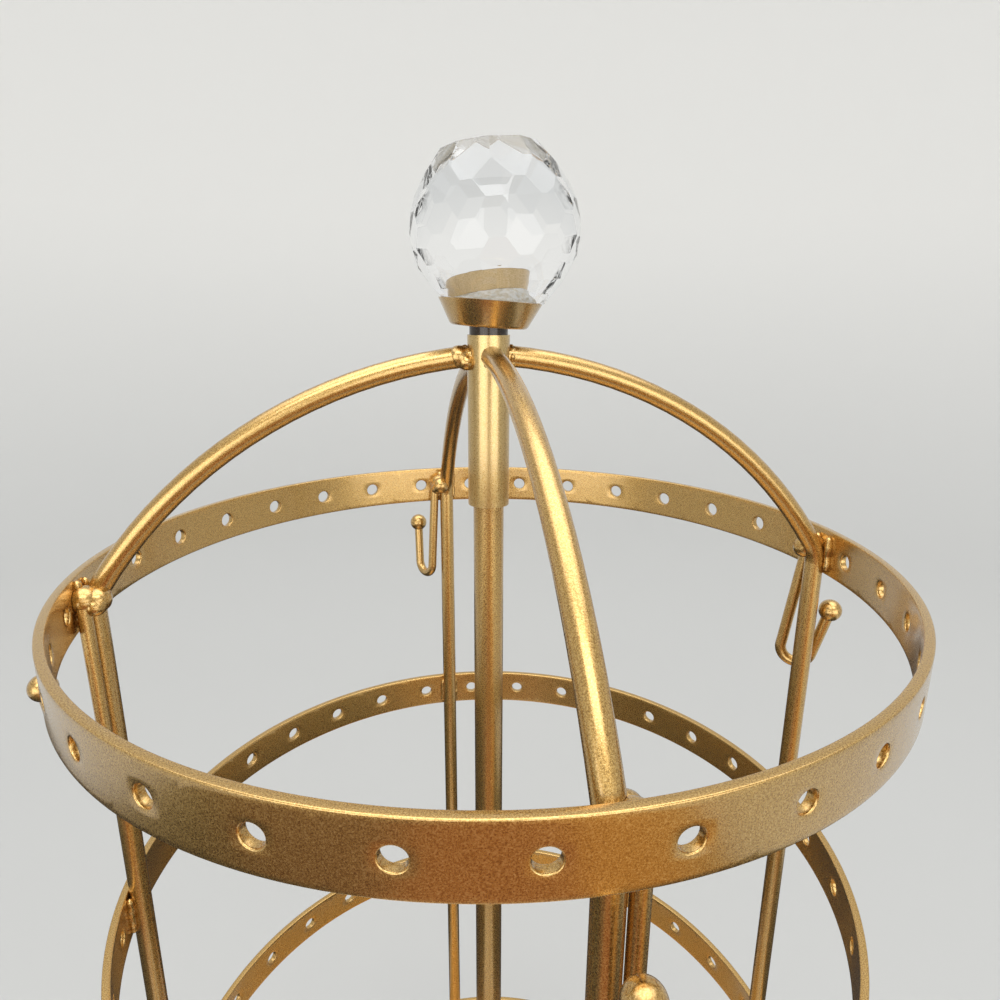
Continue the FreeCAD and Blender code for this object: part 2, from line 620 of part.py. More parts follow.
# ---- hooks ----
def hook(name):
    """J hook of wire with a ball end, welded beside a rod inside the top hoop.

    The hook is drawn upright: out is +Y, sideways (towards the next rod back) is -X."""
    wire = HOOK_WIRE / 2
    bend = (HOOK_THROAT + HOOK_WIRE) / 2
    flare = math.radians(HOOK_FLARE)
    low = -HOOK_SHANK

    def on_bend(angle):
        return Vector(0, bend - bend * math.cos(angle), low - bend * math.sin(angle))

    turn = math.pi - flare
    tip_start = on_bend(turn)
    tip = tip_start + Vector(0, math.sin(flare), math.cos(flare)) * HOOK_TIP
    path = [Part.makeLine(ORIGIN, Vector(0, 0, low)),
            Part.Arc(Vector(0, 0, low), on_bend(turn / 2), tip_start).toShape(),
            Part.makeLine(tip_start, tip)]
    body = swept_rod(path, wire)
    body = body.fuse(Part.makeSphere(wire, ORIGIN)).fuse(Part.makeSphere(HOOK_BALL / 2, tip))
    body.rotate(ORIGIN, UP, HOOK_TURN[name])
    down = Vector(-HOOK_LEAN_SIDE[name], HOOK_LEAN_OUT[name], -1)
    tilt = FreeCAD.Rotation(Vector(0, 0, -1), down)
    body.rotate(ORIGIN, tilt.Axis, math.degrees(tilt.Angle))
    side = ROD_RADIUS + wire + HOOK_GAP
    out = math.sqrt((RING_RADIUS - HOOK_GAP - wire) ** 2 - side ** 2)
    body.translate(Vector(-side, out, TOP_RING + HOOK_RISE))
    nugget_centre = Vector(-side * NUGGET_SHARE, out, TOP_RING + HOOK_RISE / 2)
    nugget = Part.makeSphere(NUGGET / 2, nugget_centre, Vector(0, 1, 0))
    inside_hoop = cylinder(RING_RADIUS - HOOK_GAP / 2, TOP_RING - NUGGET, TOP_RING + NUGGET)
    rod_room = swept_rod(rod_path(SLEEVE_RADIUS / 2), ROD_RADIUS + HOOK_GAP / 2)
    nugget = nugget.common(inside_hoop).cut(rod_room)
    return at_azimuth(body.fuse(nugget), rod_azimuth(name))


# ---- the whole stand ----
def all_parts():
    """Every sub-part by name."""
    parts = {
        "base_pad": base_pad(),
        "base_bottom_plate": base_bottom_plate(),
        "base_shell": base_shell(),
        "base_top_plate": base_top_plate(),
        "drawer_runner_left": drawer_runner(-1),
        "drawer_runner_right": drawer_runner(1),
        "drawer_stops": drawer_stops(),
        "post": post(),
        "post_boss": post_boss(),
        "post_backing_plate": post_backing_plate(),
        "post_washer": post_washer(),
        "post_nut": post_nut(),
        "drawer_tray": drawer_tray(),
        "drawer_front": drawer_front(),
        "drawer_lining": drawer_lining(),
        "drawer_knob": drawer_knob(),
        "drawer_knob_screw": drawer_knob_screw(),
        "sleeve": sleeve(),
        "finial_stud": finial_stud(),
        "finial_neck": finial_neck(),
        "finial_cup": finial_cup(),
        "crystal_ball": crystal_ball(),
    }
    for index, level in enumerate(RING_LEVELS):
        parts["ring_%d" % (index + 1)] = ring(level)
    for name in ROD_NAMES:
        parts["cage_rod_" + name] = cage_rod(name)
        parts["hook_" + name] = hook(name)
    return parts


os.makedirs("parts", exist_ok=True)
for node, shape in all_parts().items():
    shape.exportStep("parts/%s.step" % node)
    print("%-20s solids %d  valid %s  volume %.1f mm3"
          % (node, len(shape.Solids), shape.isValid(), shape.Volume))
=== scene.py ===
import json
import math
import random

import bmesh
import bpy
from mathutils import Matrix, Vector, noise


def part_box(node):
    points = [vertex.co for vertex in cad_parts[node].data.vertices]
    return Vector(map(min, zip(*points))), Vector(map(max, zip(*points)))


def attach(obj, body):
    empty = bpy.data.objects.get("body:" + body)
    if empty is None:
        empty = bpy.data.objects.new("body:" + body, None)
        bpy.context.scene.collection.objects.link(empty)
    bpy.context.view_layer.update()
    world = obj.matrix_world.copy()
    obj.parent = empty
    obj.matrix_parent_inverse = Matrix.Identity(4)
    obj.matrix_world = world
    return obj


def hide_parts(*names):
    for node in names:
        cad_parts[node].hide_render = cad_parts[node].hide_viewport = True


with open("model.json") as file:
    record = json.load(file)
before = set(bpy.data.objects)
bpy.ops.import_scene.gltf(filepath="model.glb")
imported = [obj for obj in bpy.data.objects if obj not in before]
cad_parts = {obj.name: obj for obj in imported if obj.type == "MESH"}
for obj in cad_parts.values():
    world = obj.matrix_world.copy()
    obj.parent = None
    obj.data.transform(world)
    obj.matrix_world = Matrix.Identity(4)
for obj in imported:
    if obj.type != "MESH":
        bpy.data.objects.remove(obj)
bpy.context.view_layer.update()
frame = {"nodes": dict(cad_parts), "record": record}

# %% [markdown]
# # A turning jewelry stand in Blender
# The stand is a cage of four perforated hoops on four bent rods. It hangs on a
# sleeve that turns on a thin post, and the post stands on a square base with one
# drawer. The rigid parts come in as a fixed frame of CAD nodes, in metres. This
# lesson adds what CAD leaves plain: the finishes, the hoops with their softened
# edges, the weld beads, the cut glass and the fabrics.

MM = 0.001

# %% [markdown]
# ## The sizes of the real pieces
# A maker's drawing comes before the mesh. These are the sizes, in millimetres,
# that the new pieces share with the CAD nodes they replace or touch. Each has one
# name, so that a hoop, its holes and the weld beads beside them always agree.

# %% Sizes in millimetres
HOOP_LEVELS = {"ring_1": 330.0, "ring_2": 260.0, "ring_3": 190.0, "ring_4": 120.0}
HOOP_INSIDE_RADIUS = 76.0
STRIP_THICKNESS = 1.5
STRIP_HEIGHT = 10.0
EARRING_HOLES = 32
EARRING_HOLE_DIAMETER = 3.2
FIRST_ROD_AZIMUTH = -9.8
ROD_AZIMUTHS = [FIRST_ROD_AZIMUTH + 90.0 * turn for turn in range(4)]


def on_azimuth(radius, azimuth, level):
    """A point in metres; an azimuth is in degrees from +Y, clockwise from above."""
    angle = math.radians(azimuth)
    return Vector((radius * math.sin(angle), radius * math.cos(angle), level)) * MM


print("rods stand at azimuths", ROD_AZIMUTHS)

# %% [markdown]
# ## The camera
# A camera is a place, a direction and a lens. The stand is seen from the height of
# its cup, a little downwards and very close, so the front hoop looks much larger
# than the rear one. A short lens, 25 mm on a 36 mm sensor, gives that strong
# perspective. The direction is kept as three small turns: pitch down, yaw and
# roll, which are easier to correct one at a time than a matrix.

# %% Camera
VIEW_POINT = Vector((-0.44, -133.84, 381.97)) * MM
PITCH_DOWN = 0.2665
YAW = 0.0201
ROLL = 0.0043
LENS = 25.232
SENSOR_WIDTH = 36.0
NEAREST_SEEN = 5.0 * MM

ahead = Vector((math.sin(YAW) * math.cos(PITCH_DOWN), math.cos(YAW) * math.cos(PITCH_DOWN),
                -math.sin(PITCH_DOWN)))
level_right = Vector((math.cos(YAW), -math.sin(YAW), 0.0))
level_up = level_right.cross(ahead)
right = math.cos(ROLL) * level_right + math.sin(ROLL) * level_up
up = -math.sin(ROLL) * level_right + math.cos(ROLL) * level_up

camera_data = bpy.data.cameras.new("view")
camera_data.lens = LENS
camera_data.sensor_width = SENSOR_WIDTH
camera_data.clip_start = NEAREST_SEEN
camera = bpy.data.objects.new("view", camera_data)
bpy.context.scene.collection.objects.link(camera)
facing = Matrix((right, up, -ahead)).transposed().to_4x4()
camera.matrix_world = Matrix.Translation(VIEW_POINT) @ facing
bpy.context.scene.camera = camera
bpy.context.scene.view_settings.view_transform = "Standard"
print("camera stands", round(VIEW_POINT.length / MM), "mm from the origin")

# %% [markdown]
# ## Colours and nodes
# Colours are written as sRGB hex values, as a paint chart gives them. Blender
# works in linear light, so one function turns them. A second function adds a
# shader or geometry node, sets it up and links its inputs, so that each material
# below reads like a recipe.

# %% Colours and nodes


def colour(hex_value, alpha=1.0):
    """Linear RGBA of an sRGB hex value."""
    channels = [int(hex_value[i:i + 2], 16) / 255 for i in (0, 2, 4)]
    return tuple(c / 12.92 if c <= 0.04045 else ((c + 0.055) / 1.055) ** 2.4
                 for c in channels) + (alpha,)


def add(tree, kind, links=None, **settings):
    """Adds a node; settings are its properties, links its inputs: a socket or a value."""
    made = tree.nodes.new(kind)
    for name, value in settings.items():
        setattr(made, name, value)
    for name, value in (links or {}).items():
        if isinstance(value, bpy.types.NodeSocket):
            tree.links.new(value, made.inputs[name])
        else:
            made.inputs[name].default_value = value
    return made


def new_material(name):
    """An empty material with its shader and its output, ready for a recipe."""
    made = bpy.data.materials.new(name)
    made.use_nodes = True
    made.node_tree.nodes.clear()
    shader = add(made.node_tree, "ShaderNodeBsdfPrincipled")
    add(made.node_tree, "ShaderNodeOutputMaterial", {"Surface": shader.outputs["BSDF"]})
    return made, made.node_tree, shader


def ramp_stops(node, stops):
    """Sets the stops of a Color Ramp from (position, colour) pairs."""
    while len(node.color_ramp.elements) > 1:
        node.color_ramp.elements.remove(node.color_ramp.elements[-1])
    node.color_ramp.elements[0].position, node.color_ramp.elements[0].color = stops[0]
    for position, value in stops[1:]:
        node.color_ramp.elements.new(position).color = value
    return node


print("half grey on a chart is", round(colour("808080")[0], 3), "in linear light")

# %% [markdown]
# ## Satin gold paint
# The cage and the base are mild steel, sprayed with a metallic paint and baked.
# The paint carries aluminium flake in a gold-tinted lacquer, under a clear coat.
# Two layers shine: the flake gives the broad golden glow, and the clear coat puts
# a cream line on top of it wherever a lamp mirrors in it. Close up the paint looks
# sandy, because each flake lies at its own small angle. A fine noise, with a grain
# of about a fifth of a millimetre, turns the surface's normal and shifts its
# colour. A slower noise of a few millimetres is the orange peel of a sprayed coat.
# The flake is finer than this in truth, and is drawn as coarse as it needs to show.
# The big sheets of the base get a slightly duller coat, as a spray gun leaves it on a wide flat face,
# and a darker colour, which is painted shade, so they don't glare where they mirror the ceiling lamp.
# The sleeve gets a paler copy of the paint, which is painted light, and the neck under the cup a
# near-black copy, which is painted shade in the gap between sleeve and cup.

# %% Satin gold paint
FLAKE_SIZE = 0.2
FLAKE_ROUGHNESS_SPREAD = 0.04
ORANGE_PEEL_SIZE = 3.0
ORANGE_PEEL_DEPTH = 0.05


def gold_paint(name, base, deep, light, roughness, flake_depth):
    """Metallic paint with visible flake under a clear coat."""
    made, tree, shader = new_material(name)
    place = add(tree, "ShaderNodeTexCoord").outputs["Object"]
    flake = add(tree, "ShaderNodeTexNoise", {"Vector": place, "Scale": 1 / (FLAKE_SIZE * MM),
                                            "Detail": 1.0, "Roughness": 0.5})
    peel = add(tree, "ShaderNodeTexNoise", {"Vector": place, "Scale": 1 / (ORANGE_PEEL_SIZE * MM),
                                           "Detail": 1.0})
    tint = ramp_stops(add(tree, "ShaderNodeValToRGB", {"Fac": flake.outputs["Fac"]}),
                      [(0.28, colour(deep)), (0.50, colour(base)), (0.74, colour(light))])
    tree.links.new(tint.outputs["Color"], shader.inputs["Base Color"])
    shader.inputs["Metallic"].default_value = 0.95
    rough = add(tree, "ShaderNodeMapRange",
                {"Value": flake.outputs["Fac"], "From Min": 0.3, "From Max": 0.7,
                 "To Min": roughness - FLAKE_ROUGHNESS_SPREAD,
                 "To Max": roughness + FLAKE_ROUGHNESS_SPREAD})
    tree.links.new(rough.outputs["Result"], shader.inputs["Roughness"])
    shader.inputs["Coat Weight"].default_value = 0.8
    shader.inputs["Coat Roughness"].default_value = 0.15
    shader.inputs["Coat IOR"].default_value = 1.6
    fine = add(tree, "ShaderNodeBump", {"Height": flake.outputs["Fac"], "Strength": 0.3,
                                       "Distance": flake_depth * MM})
    slow = add(tree, "ShaderNodeBump", {"Height": peel.outputs["Fac"], "Strength": 0.3,
                                       "Distance": ORANGE_PEEL_DEPTH * MM,
                                       "Normal": fine.outputs["Normal"]})
    tree.links.new(slow.outputs["Normal"], shader.inputs["Normal"])
    return made


cage_gold = gold_paint("satin_gold_paint_on_steel", "C49C54", "A68040", "DAB876", 0.28, 0.02)
# The sheets' darker base colour is painted shade, so that the wide faces don't glare under the ceiling
# lamp.
sheet_gold_painted_shade = gold_paint("satin_gold_paint_on_sheet_steel_painted_shade", "B48E4E", "9C783E", "C8A666", 0.42, 0.02)
# The sleeve's paler colour is painted light: the same paint, lightened for the cream sheen on the
# sleeve.
sleeve_gold_painted_light = gold_paint("satin_gold_paint_painted_light_on_sleeve", "CAAA6C", "BA9A58", "D8BE86", 0.3, 0.015)
boss_gold = gold_paint("satin_gold_plated_boss", "D4B888", "C4A674", "DFC69C", 0.4, 0.01)
# The neck's near-black colour is painted shade: the shadow in the narrow gap between sleeve and cup.
neck_gold_painted_shade = gold_paint("gold_plated_neck_painted_shade", "2C1C0A", "241608", "38260E", 0.5, 0.01)
cup_gold = gold_paint("satin_gold_plated_zinc", "C6A264", "BA9656", "D2AE72", 0.26, 0.01)
print("gold finishes:", [gold.name for gold in (cage_gold, sheet_gold_painted_shade, sleeve_gold_painted_light, boss_gold,
                                                neck_gold_painted_shade, cup_gold)])

# %% [markdown]
# ## Zinc-plated steel
# The nut, the washer, the backing plate and the screws are bought parts, plated
# with bright zinc. Zinc is a cool grey metal with a faint cloudiness from the
# plating bath, so a slow noise changes its roughness and hardly its colour.

# %% Zinc-plated steel
ZINC_CLOUD_SIZE = 4.0
ZINC_SCRATCH_SIZE = 0.4
zinc, tree, shader = new_material("bright_zinc_plated_steel")
place = add(tree, "ShaderNodeTexCoord").outputs["Object"]
cloud = add(tree, "ShaderNodeTexNoise", {"Vector": place, "Scale": 1 / (ZINC_CLOUD_SIZE * MM),
                                        "Detail": 4.0})
tint = ramp_stops(add(tree, "ShaderNodeValToRGB", {"Fac": cloud.outputs["Fac"]}),
                  [(0.35, colour("B4B7BA")), (0.65, colour("CFD1D2"))])
tree.links.new(tint.outputs["Color"], shader.inputs["Base Color"])
shader.inputs["Metallic"].default_value = 1.0
rough = add(tree, "ShaderNodeMapRange", {"Value": cloud.outputs["Fac"], "To Min": 0.22,
                                        "To Max": 0.42})
tree.links.new(rough.outputs["Result"], shader.inputs["Roughness"])
scratch = add(tree, "ShaderNodeTexNoise", {"Vector": place, "Scale": 1 / (ZINC_SCRATCH_SIZE * MM),
                                          "Detail": 3.0})
bump = add(tree, "ShaderNodeBump", {"Height": scratch.outputs["Fac"], "Strength": 0.15,
                                   "Distance": 0.02 * MM})
tree.links.new(bump.outputs["Normal"], shader.inputs["Normal"])
print("zinc:", zinc.name)

# %% [markdown]
# ## Cut glass
# The knob is optical crown glass, pressed, ground and polished facet by facet.
# Its index of refraction is about 1.52. Polished glass has no roughness to speak
# of, and all its life comes from the facets, so the material stays simple: clear
# transmission, and a trace of polishing haze from a noise on the roughness.

# %% Cut glass
GLASS_HAZE_SIZE = 6.0
GLASS_IOR = 1.52
LIGHT_BOUNCES = 24
glass, tree, shader = new_material("polished_crown_glass")
place = add(tree, "ShaderNodeTexCoord").outputs["Object"]
haze = add(tree, "ShaderNodeTexNoise", {"Vector": place, "Scale": 1 / (GLASS_HAZE_SIZE * MM),
                                       "Detail": 3.0})
rough = add(tree, "ShaderNodeMapRange", {"Value": haze.outputs["Fac"], "To Min": 0.0, "To Max": 0.02})
tree.links.new(rough.outputs["Result"], shader.inputs["Roughness"])
shader.inputs["Base Color"].default_value = colour("FCFDFD")
shader.inputs["IOR"].default_value = GLASS_IOR
shader.inputs["Transmission Weight"].default_value = 1.0
bpy.context.scene.cycles.max_bounces = LIGHT_BOUNCES
bpy.context.scene.cycles.glossy_bounces = 16
bpy.context.scene.cycles.transmission_bounces = LIGHT_BOUNCES
print("glass:", glass.name)

# %% [markdown]
# ## Velvet and felt
# The drawer's liner is card covered with short black velvet. Velvet is dark when
# one looks along its pile and pale at a grazing angle, which the shader's sheen
# gives. The pile also leans in patches, as if brushed by fingers: a slow noise
# moves the colour a little. The pad under the base is pressed felt: no pile, but
# fibres that lie in all directions.

# %% Velvet and felt


def cloth(name, dark, light, fibre, patch, sheen, depth):
    """Matt fibre material: fibre and patch are pattern sizes in millimetres."""
    made, tree, shader = new_material(name)
    place = add(tree, "ShaderNodeTexCoord").outputs["Object"]
    fibres = add(tree, "ShaderNodeTexNoise", {"Vector": place, "Scale": 1 / (fibre * MM),
                                             "Detail": 3.0, "Roughness": 0.7})
    patches = add(tree, "ShaderNodeTexNoise", {"Vector": place, "Scale": 1 / (patch * MM),
                                              "Detail": 2.0})
    mix = add(tree, "ShaderNodeMath", {0: fibres.outputs["Fac"], 1: patches.outputs["Fac"]},
              operation="MULTIPLY")
    tint = ramp_stops(add(tree, "ShaderNodeValToRGB", {"Fac": mix.outputs["Value"]}),
                      [(0.12, colour(dark)), (0.42, colour(light))])
    tree.links.new(tint.outputs["Color"], shader.inputs["Base Color"])
    shader.inputs["Roughness"].default_value = 0.95
    shader.inputs["Sheen Weight"].default_value = sheen
    shader.inputs["Sheen Roughness"].default_value = 0.35
    bump = add(tree, "ShaderNodeBump", {"Height": fibres.outputs["Fac"], "Strength": 0.6,
                                       "Distance": depth * MM})
    tree.links.new(bump.outputs["Normal"], shader.inputs["Normal"])
    return made


velvet = cloth("black_velvet", "0A0A0C", "1D1D21", 0.35, 18.0, 0.5, 0.15)
felt = cloth("pressed_black_felt", "121213", "2A2A2C", 0.6, 9.0, 0.15, 0.25)
print("fabrics:", velvet.name, felt.name)

# %% [markdown]
# ## Making a piece
# Every new piece goes the same way: a mesh in metres with its place in its vertices, a material, the
# CAD body it moves with and the CAD nodes it stands for. One function does that, so none is forgotten.
# The others end a mesh that was built point by point, turn live modifiers into a
# plain mesh, and give a new node tree its named inputs.

# %% Making a piece


def finish_piece(piece, body, material, replaces=()):
    """Joins a finished object to the frame."""
    piece.data.materials.clear()
    piece.data.materials.append(material)
    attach(piece, body)
    if replaces:
        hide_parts(*replaces)
    count = sum(len(face.vertices) - 2 for face in piece.data.polygons)
    print(f"{piece.name}: {count} triangles, rides on {body}")


def object_from(name, mesh):
    """Links a mesh as a new object at the origin."""
    made = bpy.data.objects.new(name, mesh)
    bpy.context.scene.collection.objects.link(made)
    return made


def smooth_object(name, made, sharp_angle=None):
    """Ends a bmesh as a smooth object; edges over the angle, if there is one, stay sharp."""
    bmesh.ops.recalc_face_normals(made, faces=made.faces)
    mesh = bpy.data.meshes.new(name)
    made.to_mesh(mesh)
    made.free()
    mesh.shade_smooth()
    if sharp_angle:
        mesh.set_sharp_from_angle(angle=sharp_angle)
    return object_from(name, mesh)


def freeze(piece):
    """Replaces an object's mesh by the result of its modifiers, and drops them."""
    evaluated = piece.evaluated_get(bpy.context.evaluated_depsgraph_get())
    mesh = bpy.data.meshes.new_from_object(evaluated)
    piece.modifiers.clear()
    piece.data = mesh


def name_inputs(tree, taken, inputs, given_back):
    """Sockets of a tree; returns the identifiers of its inputs, by label."""
    def socket(label, way, kind):
        return tree.interface.new_socket(label, in_out=way, socket_type="NodeSocket" + kind).identifier

    socket(taken, "INPUT", "Geometry")
    identifiers = {label: socket(label, "INPUT", kind) for label, kind in inputs.items()}
    socket(given_back, "OUTPUT", "Geometry")
    return identifiers


slots = {entry["node"]: entry["material_slot"] for entry in frame["record"]["subparts"]}
print("slots in the record:", sorted(set(slots.values())))

# %% [markdown]
# ## The hoops
# Each hoop is flat steel strip, punched with a row of earring holes, rolled round
# and butt welded. It repeats exactly, so the mesh is made the same way: one flat
# cell of strip with one hole, and Geometry Nodes that lay the cells in a row, join
# them and roll the row round. The ends of the strip butt at the rear rod and are
# left a quarter of a millimetre apart there. Solidify then gives the strip its
# thickness, and Bevel softens the rims, because a sharp edge would not catch the
# bright line that painted metal shows along every edge.

# %% One cell of the strip
SEAM_GAP = 0.25
CELL_WIDTH = (2 * math.pi * HOOP_INSIDE_RADIUS - SEAM_GAP) / EARRING_HOLES
STEPS_PER_SIDE = 8
STEPS_OUT = 4


def strip_cell():
    """Flat cell in the XY plane: rings of points that go from the hole to the border."""
    half_width = CELL_WIDTH / 2
    half_height = STRIP_HEIGHT / 2
    corners = [(half_width, -half_height), (half_width, half_height),
               (-half_width, half_height), (-half_width, -half_height)]
    around = 4 * STEPS_PER_SIDE
    points = []
    for out in range(STEPS_OUT + 1):
        share = out / STEPS_OUT
        for step in range(around):
            side, along = divmod(step, STEPS_PER_SIDE)
            along /= STEPS_PER_SIDE
            start, end = corners[side], corners[(side + 1) % 4]
            border = [a + (b - a) * along for a, b in zip(start, end)]
            angle = math.radians(-45 + 90 * (side + along))
            rim = [EARRING_HOLE_DIAMETER / 2 * part(angle) for part in (math.cos, math.sin)]
            points.append([(r + (b - r) * share) * MM for r, b in zip(rim, border)] + [0.0])
    faces = [(out * around + step, (out + 1) * around + step,
              (out + 1) * around + (step + 1) % around, out * around + (step + 1) % around)
             for out in range(STEPS_OUT) for step in range(around)]
    mesh = bpy.data.meshes.new("strip_cell")
    mesh.from_pydata(points, [], faces)
    return mesh


cell_mesh = strip_cell()
print("strip cell:", len(cell_mesh.polygons), "faces,", round(CELL_WIDTH, 2), "mm wide")

# %% [markdown]
# The tree's inputs carry the sizes that a maker would ask for. The rolled position
# of a point at distance x along the row and y up the strip is plain trigonometry:
# the angle is x over the radius, and the height is y.

# %% Tree that rolls the strip
SAME_POINT = 0.01
rolling = bpy.data.node_groups.new("rolled_hoop", "GeometryNodeTree")
sockets = name_inputs(rolling, "Cell", {"Holes": "Int", "Cell width": "Float", "Radius": "Float",
                                        "Level": "Float", "First angle": "Float",
                                        "Paint": "Material"}, "Hoop")
given = add(rolling, "NodeGroupInput").outputs
step = add(rolling, "ShaderNodeCombineXYZ", {"X": given["Cell width"]})
row = add(rolling, "GeometryNodeMeshLine", {"Count": given["Holes"],
                                            "Offset": step.outputs["Vector"]})
cells = add(rolling, "GeometryNodeInstanceOnPoints", {"Points": row.outputs["Mesh"],
                                                      "Instance": given["Cell"]})
strip = add(rolling, "GeometryNodeRealizeInstances", {"Geometry": cells.outputs["Instances"]})
flat = add(rolling, "GeometryNodeMergeByDistance", {"Geometry": strip.outputs["Geometry"],
                                                    "Distance": SAME_POINT * MM})
place = add(rolling, "GeometryNodeInputPosition").outputs["Position"]
spot = add(rolling, "ShaderNodeSeparateXYZ", {"Vector": place})
rolled_by = add(rolling, "ShaderNodeMath", {0: spot.outputs["X"], 1: given["Radius"]},
                operation="DIVIDE")
angle = add(rolling, "ShaderNodeMath", {0: given["First angle"], 1: rolled_by.outputs["Value"]},
            operation="SUBTRACT")
level = add(rolling, "ShaderNodeMath", {0: spot.outputs["Y"], 1: given["Level"]},
            operation="ADD")
across = add(rolling, "ShaderNodeMath", {0: angle.outputs["Value"]}, operation="SINE")
along = add(rolling, "ShaderNodeMath", {0: angle.outputs["Value"]}, operation="COSINE")
direction = add(rolling, "ShaderNodeCombineXYZ", {"X": across.outputs["Value"],
                                                  "Y": along.outputs["Value"]})
radial = add(rolling, "ShaderNodeVectorMath", {0: direction.outputs["Vector"],
                                               "Scale": given["Radius"]}, operation="SCALE")
height = add(rolling, "ShaderNodeCombineXYZ", {"Z": level.outputs["Value"]})
rolled_to = add(rolling, "ShaderNodeVectorMath", {0: radial.outputs["Vector"],
                                                  1: height.outputs["Vector"]}, operation="ADD")
rolled = add(rolling, "GeometryNodeSetPosition", {"Geometry": flat.outputs["Geometry"],
                                                  "Position": rolled_to.outputs["Vector"]})
painted = add(rolling, "GeometryNodeSetMaterial", {"Geometry": rolled.outputs["Geometry"],
                                                   "Material": given["Paint"]})
add(rolling, "NodeGroupOutput", {"Hoop": painted.outputs["Geometry"]})
print("rolled_hoop tree has", len(rolling.nodes), "nodes")

# %% Four hoops
EDGE_ROUND = 0.22
EDGE_SEGMENTS = 3
EDGE_ANGLE = math.radians(50)
for node, hoop_level in HOOP_LEVELS.items():
    hoop = object_from("hoop_" + node[-1], cell_mesh.copy())
    roll = hoop.modifiers.new("roll", "NODES")
    roll.node_group = rolling
    cell_angle = 2 * math.pi / EARRING_HOLES
    for label, value in (("Holes", EARRING_HOLES), ("Cell width", CELL_WIDTH * MM),
                         ("Radius", HOOP_INSIDE_RADIUS * MM), ("Level", hoop_level * MM),
                         ("First angle", math.radians(FIRST_ROD_AZIMUTH) + cell_angle / 2),
                         ("Paint", cage_gold)):
        roll[sockets[label]] = value
    wall = hoop.modifiers.new("wall", "SOLIDIFY")
    wall.thickness = STRIP_THICKNESS * MM
    wall.offset = 1.0
    rims = hoop.modifiers.new("rims", "BEVEL")
    rims.width = EDGE_ROUND * MM
    rims.segments = EDGE_SEGMENTS
    rims.limit_method = "ANGLE"
    rims.angle_limit = EDGE_ANGLE
    freeze(hoop)
    hoop.data.shade_smooth()
    finish_piece(hoop, "cage", cage_gold, replaces=[node])

# %% [markdown]
# ## The weld beads
# The cage is welded by hand, and the paint covers the beads. A bead is a run of
# drops that froze one over the other. So it is modelled as drops: a list says where
# each drop lies and how large it is, and Geometry Nodes put a ball on each place,
# dent it with noise and paint it. A voxel remesh then fuses the drops into one skin,
# which is what the molten metal does. Each rod gets a run on both sides at each
# hoop, each arm gets a ring of drops round its end on the sleeve, and the top of
# each hook is tacked to its rod with one big nugget of three drops. The left arm
# has two larger drops more, where a gap was filled. A pair of numbers below is a
# range to draw from, in millimetres, and a drop is (in or out, aside, up, size).

# %% Where the drops lie
WELD_SEED = 11
RUN_STEPS = 9
RUN_LENGTHS = (5.5, 7.5)
RUN_INSIDE = (0.35, 0.5)
RUN_ASIDE = (1.85, 2.1)
RUN_DROP_SIZES = (0.75, 0.9)
RUN_DROP_STRETCH = 1.3
NUGGET_DROPS = ((3.6, 1.9, 0.6, 2.5), (3.3, 2.9, -0.3, 1.9), (3.9, 0.9, 1.3, 1.6))
NUGGET_SHRINK = (0.92, 1.0)
SLEEVE_RADIUS = 4.0
ARM_WELD_LEVEL = 373.36
ARM_WELD_RADIUS = 1.7
ARM_WELD_TURNS = range(0, 360, 45)
ARM_DROPS_OUTSIDE = (0.2, 0.4)
ARM_DROPS_LOWER = 0.1
ARM_DROP_SIZES = (0.5, 0.75)
LEFT_ARM_DROPS = ((0.4, -1.2, -1.0, 1.6), (1.7, -0.4, 0.0, 2.15))
drops = []
draw = random.Random(WELD_SEED)


def drop(azimuth, out, aside, level, size, tall=1.0):
    """Notes one drop; out, aside, level and size are in millimetres."""
    angle = math.radians(azimuth)
    sideways = Vector((math.cos(angle), -math.sin(angle), 0.0)) * aside * MM
    drops.append((on_azimuth(out, azimuth, level) + sideways,
                  Vector((size, size, size * tall)) * MM, angle))


for hoop_level in HOOP_LEVELS.values():
    for azimuth in ROD_AZIMUTHS:
        for side in (-1, 1):
            length = draw.uniform(*RUN_LENGTHS)
            for step in range(RUN_STEPS):
                level = hoop_level + length * (step / (RUN_STEPS - 1) - 0.5)
                drop(azimuth, HOOP_INSIDE_RADIUS - draw.uniform(*RUN_INSIDE),
                     side * draw.uniform(*RUN_ASIDE), level, draw.uniform(*RUN_DROP_SIZES),
                     RUN_DROP_STRETCH)
for azimuth in ROD_AZIMUTHS:
    for inward, aside, height, size in NUGGET_DROPS:
        drop(azimuth, HOOP_INSIDE_RADIUS - inward, -aside, HOOP_LEVELS["ring_1"] + height,
             size * draw.uniform(*NUGGET_SHRINK))
    for turn in ARM_WELD_TURNS:
        angle = math.radians(turn)
        drop(azimuth, SLEEVE_RADIUS + draw.uniform(*ARM_DROPS_OUTSIDE),
             ARM_WELD_RADIUS * math.sin(angle),
             ARM_WELD_LEVEL - ARM_DROPS_LOWER + ARM_WELD_RADIUS * math.cos(angle),
             draw.uniform(*ARM_DROP_SIZES))
for outward, aside, height, size in LEFT_ARM_DROPS:
    drop(ROD_AZIMUTHS[3], SLEEVE_RADIUS + outward, aside, ARM_WELD_LEVEL + height, size)
print(len(drops), "drops of weld")

